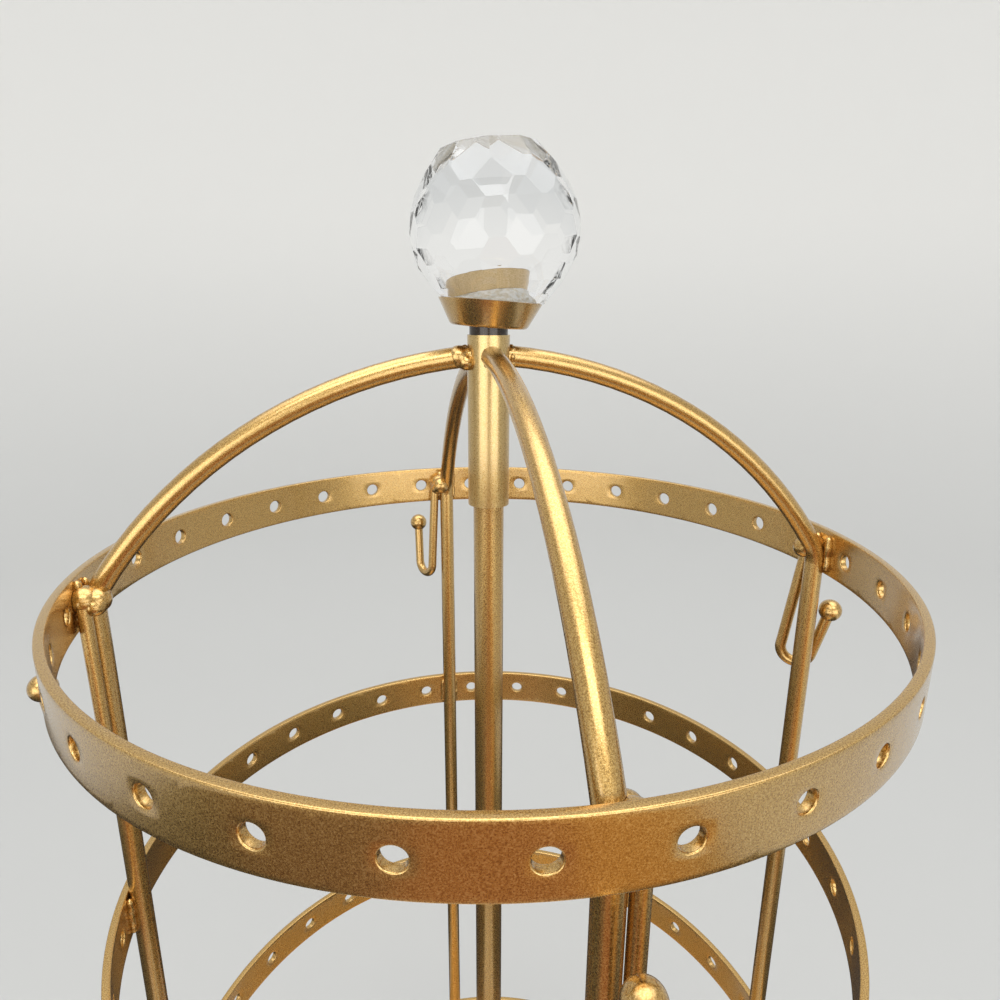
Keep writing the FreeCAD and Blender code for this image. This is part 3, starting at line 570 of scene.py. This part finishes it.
# %% Tree that lays the drops
beading = bpy.data.node_groups.new("weld_beads", "GeometryNodeTree")
sockets = name_inputs(beading, "Drops", {"Lumpiness": "Float", "Lump size": "Float",
                                         "Seed": "Float", "Paint": "Material"}, "Beads")
given = add(beading, "NodeGroupInput").outputs
ball = add(beading, "GeometryNodeMeshIcoSphere", {"Radius": 1.0, "Subdivisions": 3})
reach, turn = (add(beading, "GeometryNodeInputNamedAttribute", {"Name": label},
                   data_type="FLOAT_VECTOR") for label in ("reach", "turn"))
laid = add(beading, "GeometryNodeInstanceOnPoints",
           {"Points": given["Drops"], "Instance": ball.outputs["Mesh"],
            "Rotation": turn.outputs["Attribute"], "Scale": reach.outputs["Attribute"]})
real = add(beading, "GeometryNodeRealizeInstances", {"Geometry": laid.outputs["Instances"]})
dense = add(beading, "ShaderNodeMath", {0: 1.0, 1: given["Lump size"]}, operation="DIVIDE")
place = add(beading, "GeometryNodeInputPosition").outputs["Position"]
bumps = add(beading, "ShaderNodeTexNoise", {"Vector": place, "W": given["Seed"],
                                            "Scale": dense.outputs["Value"]}, noise_dimensions="4D")
signed = add(beading, "ShaderNodeMath", {0: bumps.outputs["Fac"], 1: 0.5}, operation="SUBTRACT")
depth = add(beading, "ShaderNodeMath", {0: signed.outputs["Value"], 1: given["Lumpiness"]},
            operation="MULTIPLY")
outward = add(beading, "GeometryNodeInputNormal").outputs["Normal"]
push = add(beading, "ShaderNodeVectorMath", {0: outward, "Scale": depth.outputs["Value"]},
           operation="SCALE")
dented = add(beading, "GeometryNodeSetPosition", {"Geometry": real.outputs["Geometry"],
                                                  "Offset": push.outputs["Vector"]})
painted = add(beading, "GeometryNodeSetMaterial", {"Geometry": dented.outputs["Geometry"],
                                                   "Material": given["Paint"]})
add(beading, "NodeGroupOutput", {"Beads": painted.outputs["Geometry"]})
print("weld_beads tree has", len(beading.nodes), "nodes")

# %% One skin of beads
WELD_VOXEL = 0.22
WELD_LUMPINESS = 0.3
WELD_LUMP_SIZE = 1.3
WELD_NOISE_SEED = 3.0
WELD_SMOOTHING = 14
drop_mesh = bpy.data.meshes.new("weld_beads")
drop_mesh.from_pydata([place for place, size, angle in drops], [], [])
for label, values in (("reach", [size for place, size, angle in drops]),
                      ("turn", [(0.0, 0.0, -angle) for place, size, angle in drops])):
    drop_mesh.attributes.new(label, "FLOAT_VECTOR", "POINT").data.foreach_set(
        "vector", [number for value in values for number in value])
beads = object_from("weld_beads", drop_mesh)
lay = beads.modifiers.new("lay", "NODES")
lay.node_group = beading
for label, value in (("Lumpiness", WELD_LUMPINESS * MM), ("Lump size", WELD_LUMP_SIZE * MM),
                     ("Seed", WELD_NOISE_SEED), ("Paint", cage_gold)):
    lay[sockets[label]] = value
fuse = beads.modifiers.new("fuse", "REMESH")
fuse.mode = "VOXEL"
fuse.voxel_size = WELD_VOXEL * MM
soften = beads.modifiers.new("soften", "SMOOTH")
soften.iterations = WELD_SMOOTHING
freeze(beads)
beads.data.shade_smooth()
finish_piece(beads, "cage", cage_gold)

# %% [markdown]
# ## The cut glass
# A glass cutter holds the blank against a flat wheel, once for every facet, and
# turns it on an index between the cuts. The mesh is cut in the same way: from a
# block, one plane at a time, with bisect and a new face over each cut. The facets
# of a tier have one slope, and the next tier is turned by half a facet. The stone
# leans back a little in its cup, so its planes are turned with it. The two lowest
# tiers get so many cuts that the foot is round, as it is ground for its cup. Last, a
# bevel of a tenth of a millimetre takes the sharpness off every edge, because those
# narrow faces catch the light as small sparks.

# %% Cutting the glass
CUP_UNDERSIDE = 378.704
CUP_RIM_LEVEL = 383.404
FINIAL_LEAN = 4.0
GLASS_ROLL = 9.0
GLASS_RADIUS = 14.95
GLASS_MIDDLE = CUP_RIM_LEVEL + 12.0
GLASS_CROWN = 13.8
GLASS_TIERS = 8
FACETS_ROUND = 10
LOWEST_FACET = -44.0
HIGHEST_FACET = 38.0
GLASS_EDGE = 0.1
TURNED_TIERS = 2
TURNED_STEPS = 60
SHARP_ANGLE = math.radians(10)
GLUE_FILM = 0.03
ON_THE_PLANE = 1e-7
SHORTEST_EDGE = 1e-6
foot = Matrix.Translation((0, 0, CUP_UNDERSIDE * MM))
lean = foot @ Matrix.Rotation(math.radians(FINIAL_LEAN), 4, "Y") @ foot.inverted()
rolled_back = Matrix.Rotation(math.radians(FINIAL_LEAN - GLASS_ROLL), 3, "Y")
glass_middle = lean @ Vector((0, 0, GLASS_MIDDLE * MM))


def grind(stone, place, normal):
    """Takes off what lies outside a plane and closes the cut."""
    everything = stone.verts[:] + stone.edges[:] + stone.faces[:]
    cut = bmesh.ops.bisect_plane(stone, geom=everything, dist=ON_THE_PLANE, plane_co=place,
                                 plane_no=normal, clear_outer=True)
    rim = [item for item in cut["geom_cut"] if isinstance(item, bmesh.types.BMEdge)]
    bmesh.ops.contextual_create(stone, geom=rim)


stone = bmesh.new()
bmesh.ops.create_cube(stone, size=3 * GLASS_RADIUS * MM)
bmesh.ops.translate(stone, verts=stone.verts, vec=glass_middle)
grind(stone, glass_middle + rolled_back @ Vector((0, 0, GLASS_CROWN * MM)),
      rolled_back @ Vector((0, 0, 1)))
for tier in range(GLASS_TIERS):
    slope = math.radians(LOWEST_FACET + (HIGHEST_FACET - LOWEST_FACET) * tier / (GLASS_TIERS - 1))
    count = TURNED_STEPS if tier < TURNED_TIERS else FACETS_ROUND
    for index in range(count):
        turn = 2 * math.pi / count * (index + tier % 2 / 2)
        facing = rolled_back @ Vector((math.sin(turn) * math.cos(slope),
                                       math.cos(turn) * math.cos(slope), math.sin(slope)))
        grind(stone, glass_middle + facing * GLASS_RADIUS * MM, facing)
down = lean.to_3x3() @ Vector((0, 0, -1))
grind(stone, lean @ Vector((0, 0, (CUP_RIM_LEVEL + GLUE_FILM) * MM)), down)
bmesh.ops.dissolve_degenerate(stone, dist=SHORTEST_EDGE, edges=stone.edges)
sharp = [edge for edge in stone.edges if edge.calc_face_angle(0) > SHARP_ANGLE]
bmesh.ops.bevel(stone, geom=sharp, offset=GLASS_EDGE * MM, segments=2, profile=0.5,
                affect="EDGES", clamp_overlap=True)
finish_piece(smooth_object("cut_glass_ball", stone, SHARP_ANGLE), "cage", glass,
             replaces=["crystal_ball"])

# %% [markdown]
# ## The cup
# The cup is turned from bar, so one outline swept about its axis makes it. Its
# conical wall meets the underside in a round of a millimetre, and the rim has a
# flat lip with softened edges, which catches a thin line of light. The stone sits
# on the flat floor inside the lip.

# %% Turned cup
CUP_RIM_RADIUS = 9.6
CUP_BASE_RADIUS = 7.1
CUP_ROUND = 1.0
CUP_LIP = 0.4
CUP_SEAT_DEPTH = 1.1
ROUND_STEPS = 8
LIP_EDGE = ((0.08, 0.15), (0.03, 0.04), (0.1, 0.0))
STEPS_AROUND = 96
TURNED_SHARP_ANGLE = math.radians(35)


def bridge(made, loops):
    """Faces from each loop of vertices to the next; a loop of one vertex is a tip."""
    for lower, upper in zip(loops, loops[1:]):
        around = max(len(lower), len(upper))
        for k in range(around):
            after = (k + 1) % around
            ends = [lower[0]] if len(lower) == 1 else [lower[k], lower[after]]
            ends += [upper[0]] if len(upper) == 1 else [upper[after], upper[k]]
            made.faces.new(ends)


def turned(name, outline, placing):
    """Surface of revolution from (radius, height) points in millimetres."""
    made = bmesh.new()
    turns = [2 * math.pi * k / STEPS_AROUND for k in range(STEPS_AROUND)]
    bridge(made, [[made.verts.new(placing @ (Vector((r * math.cos(a), r * math.sin(a), z)) * MM))
                   for a in (turns if r else turns[:1])] for r, z in outline])
    return smooth_object(name, made, TURNED_SHARP_ANGLE)


cone = math.atan2(CUP_RIM_LEVEL - CUP_UNDERSIDE, CUP_RIM_RADIUS - CUP_BASE_RADIUS)
round_reach = CUP_ROUND * math.tan(cone / 2)
cup_height = CUP_RIM_LEVEL - CUP_UNDERSIDE
outline = [(0, 0)]
outline += [(CUP_BASE_RADIUS - round_reach + CUP_ROUND * math.sin(a), CUP_ROUND * (1 - math.cos(a)))
            for a in (cone * step / ROUND_STEPS for step in range(ROUND_STEPS + 1))]
outline += [(CUP_RIM_RADIUS - inward, cup_height - below) for inward, below in LIP_EDGE]
outline += [(CUP_RIM_RADIUS - CUP_LIP, cup_height),
            (CUP_RIM_RADIUS - 2 * CUP_LIP, cup_height - CUP_SEAT_DEPTH),
            (0, cup_height - CUP_SEAT_DEPTH)]
cup = turned("turned_cup", [(r, CUP_UNDERSIDE + z) for r, z in outline], lean)
finish_piece(cup, "cage", cup_gold, replaces=["finial_cup"])

# %% [markdown]
# ## The boss and the glue in the glass
# A glued joint has no air in it. Light that leaves the glass there goes straight
# into the glue, so the boss shows through the glass, enlarged by it like a pencil in
# a glass of water. The stone above was cut without its bore, and the boss is laid
# into it as two opaque bodies that touch it all round. The upper one is the boss's
# own bright gold. The lower one is the pale glue that was pressed out round its
# foot, which has wrinkled as it set. The glue stands higher on the right, because
# the stone sits askew, so the two are parted by a slanting plane.

# %% Boss and glue
BOSS_RADIUS = 5.2
BOSS_ASIDE = -0.6
GLUE_RADIUS = 7.6
BOSS_HEIGHT = 6.7
GLUE_HEIGHT = 3.3
GLUE_SLANT = 0.28
BOSS_SLANT = 0.2
GLUE_LOW = CUP_RIM_LEVEL + 0.05
BOSS_CLEAR = 0.02
WALL_STEPS = 14
GLUE_WRINKLE = 0.7
GLUE_WRINKLE_SIZE = 1.5
GLUE_GRAIN = 0.9


def boss_body(name, radii, low, high, low_slant, high_slant, wrinkle, wrinkle_size):
    """Closed drum or cone in the cup's frame, between two planes that slant along X."""
    made = bmesh.new()
    loops = []
    for step in range(WALL_STEPS + 1):
        share = step / WALL_STEPS
        loops.append([])
        for k in range(STEPS_AROUND):
            angle = 2 * math.pi * k / STEPS_AROUND
            radius = radii[0] + (radii[1] - radii[0]) * share
            spot = Vector((math.cos(angle), math.sin(angle), 0.0)) * radius
            floor = low + low_slant * spot.x
            spot.z = floor + (high + high_slant * spot.x - floor) * share
            rough = wrinkle * max(0.0, noise.noise(spot / wrinkle_size))
            aside = Vector((BOSS_ASIDE, 0.0, 0.0))
            spot += Vector((spot.x, spot.y, 0.0)).normalized() * rough + aside
            loops[-1].append(made.verts.new(lean @ (spot * MM)))
    bridge(made, loops)
    for end in (loops[0], loops[-1]):
        made.faces.new(end)
    body = smooth_object(name, made)
    for face in body.data.polygons:
        face.use_smooth = len(face.vertices) == 4
    return body


glue, tree, shader = new_material("pale_epoxy_glue")
place = add(tree, "ShaderNodeTexCoord").outputs["Object"]
crumple = add(tree, "ShaderNodeTexNoise", {"Vector": place, "Scale": 1 / (GLUE_GRAIN * MM),
                                          "Detail": 3.0})
tint = ramp_stops(add(tree, "ShaderNodeValToRGB", {"Fac": crumple.outputs["Fac"]}),
                  [(0.35, colour("DDD3BC")), (0.6, colour("FAF8F2"))])
tree.links.new(tint.outputs["Color"], shader.inputs["Base Color"])
shader.inputs["Roughness"].default_value = 0.25
bump = add(tree, "ShaderNodeBump", {"Height": crumple.outputs["Fac"], "Strength": 0.6,
                                   "Distance": 0.3 * MM})
tree.links.new(bump.outputs["Normal"], shader.inputs["Normal"])

split = CUP_RIM_LEVEL + GLUE_HEIGHT
finish_piece(boss_body("cup_boss_in_glass", (BOSS_RADIUS, BOSS_RADIUS), split + BOSS_CLEAR,
                       CUP_RIM_LEVEL + BOSS_HEIGHT, GLUE_SLANT, BOSS_SLANT, 0.0, 1.0),
             "cage", boss_gold)
finish_piece(boss_body("glue_round_boss", (GLUE_RADIUS, BOSS_RADIUS), GLUE_LOW, split, 0.0,
                       GLUE_SLANT, GLUE_WRINKLE, GLUE_WRINKLE_SIZE), "cage", glue)

# %% [markdown]
# ## The drawer's liner and the pad
# Both are fabric, so neither is a plain box. The liner is card wrapped in velvet:
# its rim is rounded, its walls meet the floor in a soft fillet and its floor swells
# a little in the middle, because there is wadding under the pile. The pad is a sheet
# of felt with a blunt cut edge. Both are lofts: loops of a rounded rectangle, each
# with its own inset, height and scale, joined one to the next.

# %% Lofted fabric
CORNER_STEPS = 8
SIDE_STEPS = 30
SMALLEST_CORNER = 0.4
END_SCALES = (0.3, 0.65, 0.95)


def rounded_loop(low, high, corner, inset, level, scale):
    """Points of a rounded rectangle, all lengths in metres."""
    middle = (Vector(low[:2]) + Vector(high[:2])) / 2
    half = (Vector(high[:2]) - Vector(low[:2])) / 2 - Vector((inset, inset))
    radius = max(corner - inset, SMALLEST_CORNER * MM)
    arcs = []
    for quarter, (right, back) in enumerate(((1, 1), (-1, 1), (-1, -1), (1, -1))):
        centre = Vector((right * (half.x - radius), back * (half.y - radius)))
        angles = [math.pi / 2 * (quarter + step / CORNER_STEPS) for step in range(CORNER_STEPS + 1)]
        arcs.append([centre + radius * Vector((math.cos(a), math.sin(a))) for a in angles])
    points = []
    for arc, following in zip(arcs, arcs[1:] + arcs[:1]):
        points += arc + [arc[-1].lerp(following[0], step / SIDE_STEPS) for step in range(1, SIDE_STEPS)]
    return [(middle + point * scale).to_3d() + Vector((0, 0, level)) for point in points]


def lofted(name, node, corner, profile):
    """Closed loft in a CAD node's box; the profile is (inset, height, scale), in mm."""
    low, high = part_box(node)
    made = bmesh.new()
    loops = [[made.verts.new(point) for point in
              rounded_loop(low, high, corner * MM, inset * MM, low[2] + height * MM, scale)]
             for inset, height, scale in profile]
    bridge(made, loops)
    for end in (loops[0], loops[-1]):
        hub = made.verts.new(sum((v.co for v in end), Vector()) / len(end))
        for k in range(len(end)):
            made.faces.new([end[k], end[(k + 1) % len(end)], hub])
    return smooth_object(name, made)


LINER_WALL = 1.2
LINER_FLOOR = 1.5
LINER_FILLET = 4.0
LINER_SWELL = 0.8
LINER_CORNER = 2.0
LINER_RIM = 0.6
LINER_SOFTNESS = 0.25
LINER_WAVES = 16
low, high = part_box("drawer_lining")
rim = (high[2] - low[2]) / MM
profile = [(LINER_RIM, 0.0, scale) for scale in END_SCALES]
profile += [(LINER_RIM, 0.0, 1.0), (0.18, 0.18, 1.0), (0.0, LINER_RIM, 1.0)]
profile += [(0.0, rim * share, 1.0) for share in (0.25, 0.5, 0.75)]
profile += [(LINER_RIM - LINER_RIM * math.cos(math.radians(a)),
             rim - LINER_RIM + LINER_RIM * math.sin(math.radians(a)), 1.0) for a in range(0, 181, 30)]
profile += [(LINER_WALL + 0.15, rim * share, 1.0) for share in (0.85, 0.65, 0.45, 0.25)]
profile += [(LINER_WALL + LINER_FILLET * (1 - math.cos(math.radians(a))),
             LINER_FLOOR + LINER_FILLET * (1 - math.sin(math.radians(a))), 1.0)
            for a in range(0, 91, 15)]
profile += [(LINER_WALL + LINER_FILLET, LINER_FLOOR + LINER_SWELL * (1 - scale ** 2), scale)
            for scale in (0.94, 0.85, 0.72, 0.56, 0.4, 0.22, 0.08)]
liner = lofted("velvet_liner", "drawer_lining", LINER_CORNER, profile)
for vertex in liner.data.vertices:
    inside = min(vertex.co.x - low[0], high[0] - vertex.co.x,
                 vertex.co.y - low[1], high[1] - vertex.co.y)
    if inside > LINER_WALL * MM and vertex.co.z > low[2] + LINER_FLOOR * MM / 2:
        wave = noise.noise(vertex.co / (LINER_WAVES * MM))
        vertex.co += vertex.normal * LINER_SOFTNESS * MM * wave
finish_piece(liner, "drawer", velvet, replaces=["drawer_lining"])

PAD_THICKNESS = 1.5
PAD_CORNER = 7.0
PAD_EDGE = 0.5
profile = [(PAD_EDGE, 0.0, scale) for scale in END_SCALES + (1.0,)]
profile += [(0.12, 0.15, 1.0), (0.0, 0.5, 1.0), (0.0, 1.0, 1.0), (0.12, 1.35, 1.0)]
profile += [(PAD_EDGE, PAD_THICKNESS, scale) for scale in (1.0,) + END_SCALES[::-1]]
pad = lofted("felt_pad", "base_pad", PAD_CORNER, profile)
finish_piece(pad, "base", felt, replaces=["base_pad"])

# %% [markdown]
# ## The CAD nodes that keep their own shape
# Tubes, rods, hooks and sheet metal are already right. They only need a finish, by the same slot names
# that the record gives them. A few nodes of a slot get a copy of their paint in another colour: the
# sleeve a paler one, which is painted light; the neck a near-black one, which is painted shade in the
# gap under the cup; and the sheets a darker, duller one, whose darker colour is painted shade.

# %% Finishes for the CAD nodes
FINISHES = {"gold_metal": cage_gold, "gold_turned": cup_gold, "zinc_steel": zinc,
            "crystal": glass, "velvet": velvet, "felt": felt}
SHEETS = ("base_bottom_plate", "base_shell", "base_top_plate", "drawer_front", "drawer_tray",
          "drawer_runner_left", "drawer_runner_right", "drawer_stops")
OWN_FINISHES = {"finial_neck": neck_gold_painted_shade, "sleeve": sleeve_gold_painted_light} | dict.fromkeys(SHEETS, sheet_gold_painted_shade)
for name, cad in frame["nodes"].items():
    cad.data.materials.clear()
    cad.data.materials.append(OWN_FINISHES.get(name, FINISHES[slots[name]]))
print("finished", len(slots), "CAD nodes")

# %% [markdown]
# ## The studio
# The stand is shown in a shallow round bowl of pale matt board, as wide as a small
# room. Its wall is one smooth curve with its floor, so no edge or horizon shows
# from any side, and the metal reflects something pale all round. A bowl is a
# turned profile, so the function that turned the cup makes it as well. The board
# also glows a little, with a share of its own for what the camera sees, what metal
# mirrors and what glass lets through. That evens out the wall without more light on
# the stand, and the rest of the board still takes the stand's shadow.

# %% Studio bowl
FLOOR_RADIUS = 1100.0
WALL_CURVE = 700.0
CURVE_STEPS = 12
WALL_LEVELS = (1200.0, 1800.0)
outline = [(r, 0.0) for r in (0.0, 200.0, 600.0, FLOOR_RADIUS)]
outline += [(FLOOR_RADIUS + WALL_CURVE * math.sin(a), WALL_CURVE - WALL_CURVE * math.cos(a))
            for a in (math.pi / 2 * step / CURVE_STEPS for step in range(1, CURVE_STEPS + 1))]
outline += [(FLOOR_RADIUS + WALL_CURVE, level) for level in WALL_LEVELS]
bowl = turned("studio_bowl", outline, Matrix())
FLOOR_TONE, WALL_TONE = "D4D4D1", "EEEEEB"
FLOOR_GLOW, WALL_GLOW = "D2D3D2", "EAE9E6"
BOARD_GLOW = {"Is Camera Ray": 0.55, "Is Glossy Ray": 0.4, "Is Transmission Ray": 0.9}
board, tree, shader = new_material("pale_matt_board")
rise = add(tree, "ShaderNodeSeparateXYZ", {"Vector": add(tree, "ShaderNodeTexCoord").outputs["Object"]})
tone = ramp_stops(add(tree, "ShaderNodeValToRGB", {"Fac": rise.outputs["Z"]}),
                  [(0.0, colour(FLOOR_TONE)), (0.5, colour(WALL_TONE))])
tree.links.new(tone.outputs["Color"], shader.inputs["Base Color"])
shader.inputs["Roughness"].default_value = 0.9
rays = add(tree, "ShaderNodeLightPath").outputs
share = add(tree, "ShaderNodeMath", {0: rays["Is Camera Ray"], 1: BOARD_GLOW["Is Camera Ray"]},
            operation="MULTIPLY")
for ray in ("Is Glossy Ray", "Is Transmission Ray"):
    share = add(tree, "ShaderNodeMath", {0: rays[ray], 1: BOARD_GLOW[ray], 2: share.outputs["Value"]},
                operation="MULTIPLY_ADD", use_clamp=True)
glow = ramp_stops(add(tree, "ShaderNodeValToRGB", {"Fac": rise.outputs["Z"]}),
                  [(0.0, colour(FLOOR_GLOW)), (0.6, colour(WALL_GLOW))])
even = add(tree, "ShaderNodeEmission", {"Color": glow.outputs["Color"], "Strength": 1.0})
blend = add(tree, "ShaderNodeMixShader", {0: share.outputs["Value"], 1: shader.outputs["BSDF"],
                                         2: even.outputs["Emission"]})
tree.links.new(blend.outputs["Shader"], tree.nodes["Material Output"].inputs["Surface"])
bowl.data.materials.append(board)
print("studio bowl is", round(2 * outline[-1][0] * MM, 3), "m wide")

# %% [markdown]
# ## The light
# One long ceiling lamp draws the cream band along the top of every arm and hoop, and
# a shorter strip above the viewer lights the faces that look forward. Two low soft
# boxes, left and right of the viewer, draw the bright lines down the sleeve, the post
# and the rods. Their spread is a little narrower than a bare lamp's, so the floor
# under them fades out with no hard edge. Two weak lamps light the walls behind and
# before the stand.
# Round metal looks round only where it mirrors something dark as well. So flat cards lie just above the
# floor, round the base, and each glows with one even tone: nearly black at the sides and the back,
# brown, orange and ochre in front. Only metal sees them. They are painted reflections, which draw the
# warm and the dark lines along tubes and hoops without any change to the light.

# %% Lamps


def lamp(name, place, aim, size, power, spread=180):
    """Soft lamp: its (width, height) in metres, power in watts, spread in degrees."""
    data = bpy.data.lights.new(name, "AREA")
    data.shape = "RECTANGLE"
    data.size, data.size_y = size
    data.energy = power
    data.spread = math.radians(spread)
    made = bpy.data.objects.new(name, data)
    bpy.context.scene.collection.objects.link(made)
    made.location = place
    made.rotation_euler = (Vector(aim) - Vector(place)).to_track_quat("-Z", "Y").to_euler()
    made.visible_transmission = False


lamp("ceiling", (0.05, 0.1, 1.6), (0.05, 0.1, 0.3), (2.4, 1.0), 9.5)
lamp("front_strip", (0.0, -0.85, 1.3), (0, 0, 0.35), (1.2, 0.5), 6.5)
lamp("left_box", (-0.53, -0.95, 0.38), (0, 0, 0.37), (0.95, 0.7), 2.2, 130)
lamp("right_box", (0.53, -0.95, 0.38), (0, 0, 0.37), (0.95, 0.7), 2.2, 130)
lamp("backdrop", (0.0, 0.3, 1.7), (0, 1.6, 0.5), (1.2, 1.2), 6)
lamp("foreground", (0.0, -0.5, 1.75), (0, -1.5, 0.2), (1.6, 0.8), 5)


def card(name, tone, corners):
    """A glowing card of one even tone that only metal sees, a painted reflection that casts no shadow.
    """
    paper, tree, shader = new_material(name)
    shader.inputs["Base Color"].default_value = colour("000000")
    shader.inputs["Emission Color"].default_value = colour(tone)
    shader.inputs["Emission Strength"].default_value = 1.0
    mesh = bpy.data.meshes.new(name)
    mesh.from_pydata(corners, [], [range(len(corners))])
    mesh.materials.append(paper)
    made = object_from(name, mesh)
    made.visible_camera = made.visible_diffuse = False
    made.visible_transmission = made.visible_shadow = False


CARD_LEVEL = 0.058
NEARLY_BLACK = "0E0804"
# Each card glows in its tone as a painted reflection: dark at the sides and the back, warm in front.
for name, tone, west, east, front, back in (
        ("dark_card_left", NEARLY_BLACK, -0.44, -0.1, -0.22, 0.6),
        ("dark_card_right", NEARLY_BLACK, 0.1, 0.3, -0.22, 0.6),
        ("dark_card_back", NEARLY_BLACK, -0.1, 0.1, 0.1, 0.6),
        ("brown_card", "5C2E0A", -0.44, -0.12, -1.0, -0.22),
        ("orange_card", "9A5410", -0.12, 0.12, -1.0, -0.22),
        ("ochre_card", "C48C30", 0.12, 0.3, -1.0, -0.22)):
    card(name, tone, [(x, y, CARD_LEVEL) for x, y in ((west, front), (east, front),
                                                      (east, back), (west, back))])

# %% [markdown]
# The world closes the open top of the bowl. Its strength is not the same for every
# ray: low for the light it gives, and near that of the bowl for what metal and glass
# mirror or let through.

# %% World
ROOM_LIGHT = 0.08
ROOM_SEEN = 0.85

world = bpy.data.worlds.new("room")
world.use_nodes = True
tree = world.node_tree
rays = add(tree, "ShaderNodeLightPath").outputs
seen = rays["Is Camera Ray"]
for ray in ("Is Glossy Ray", "Is Transmission Ray"):
    seen = add(tree, "ShaderNodeMath", {0: seen, 1: rays[ray]}, operation="MAXIMUM").outputs["Value"]
strength = add(tree, "ShaderNodeMapRange", {"Value": seen, "To Min": ROOM_LIGHT,
                                           "To Max": ROOM_SEEN})
tree.links.new(strength.outputs["Result"], tree.nodes["Background"].inputs["Strength"])
tree.nodes["Background"].inputs["Color"].default_value = colour("FFFFFF")
bpy.context.scene.world = world
print("world strength", ROOM_LIGHT, "as light and", ROOM_SEEN, "as seen")
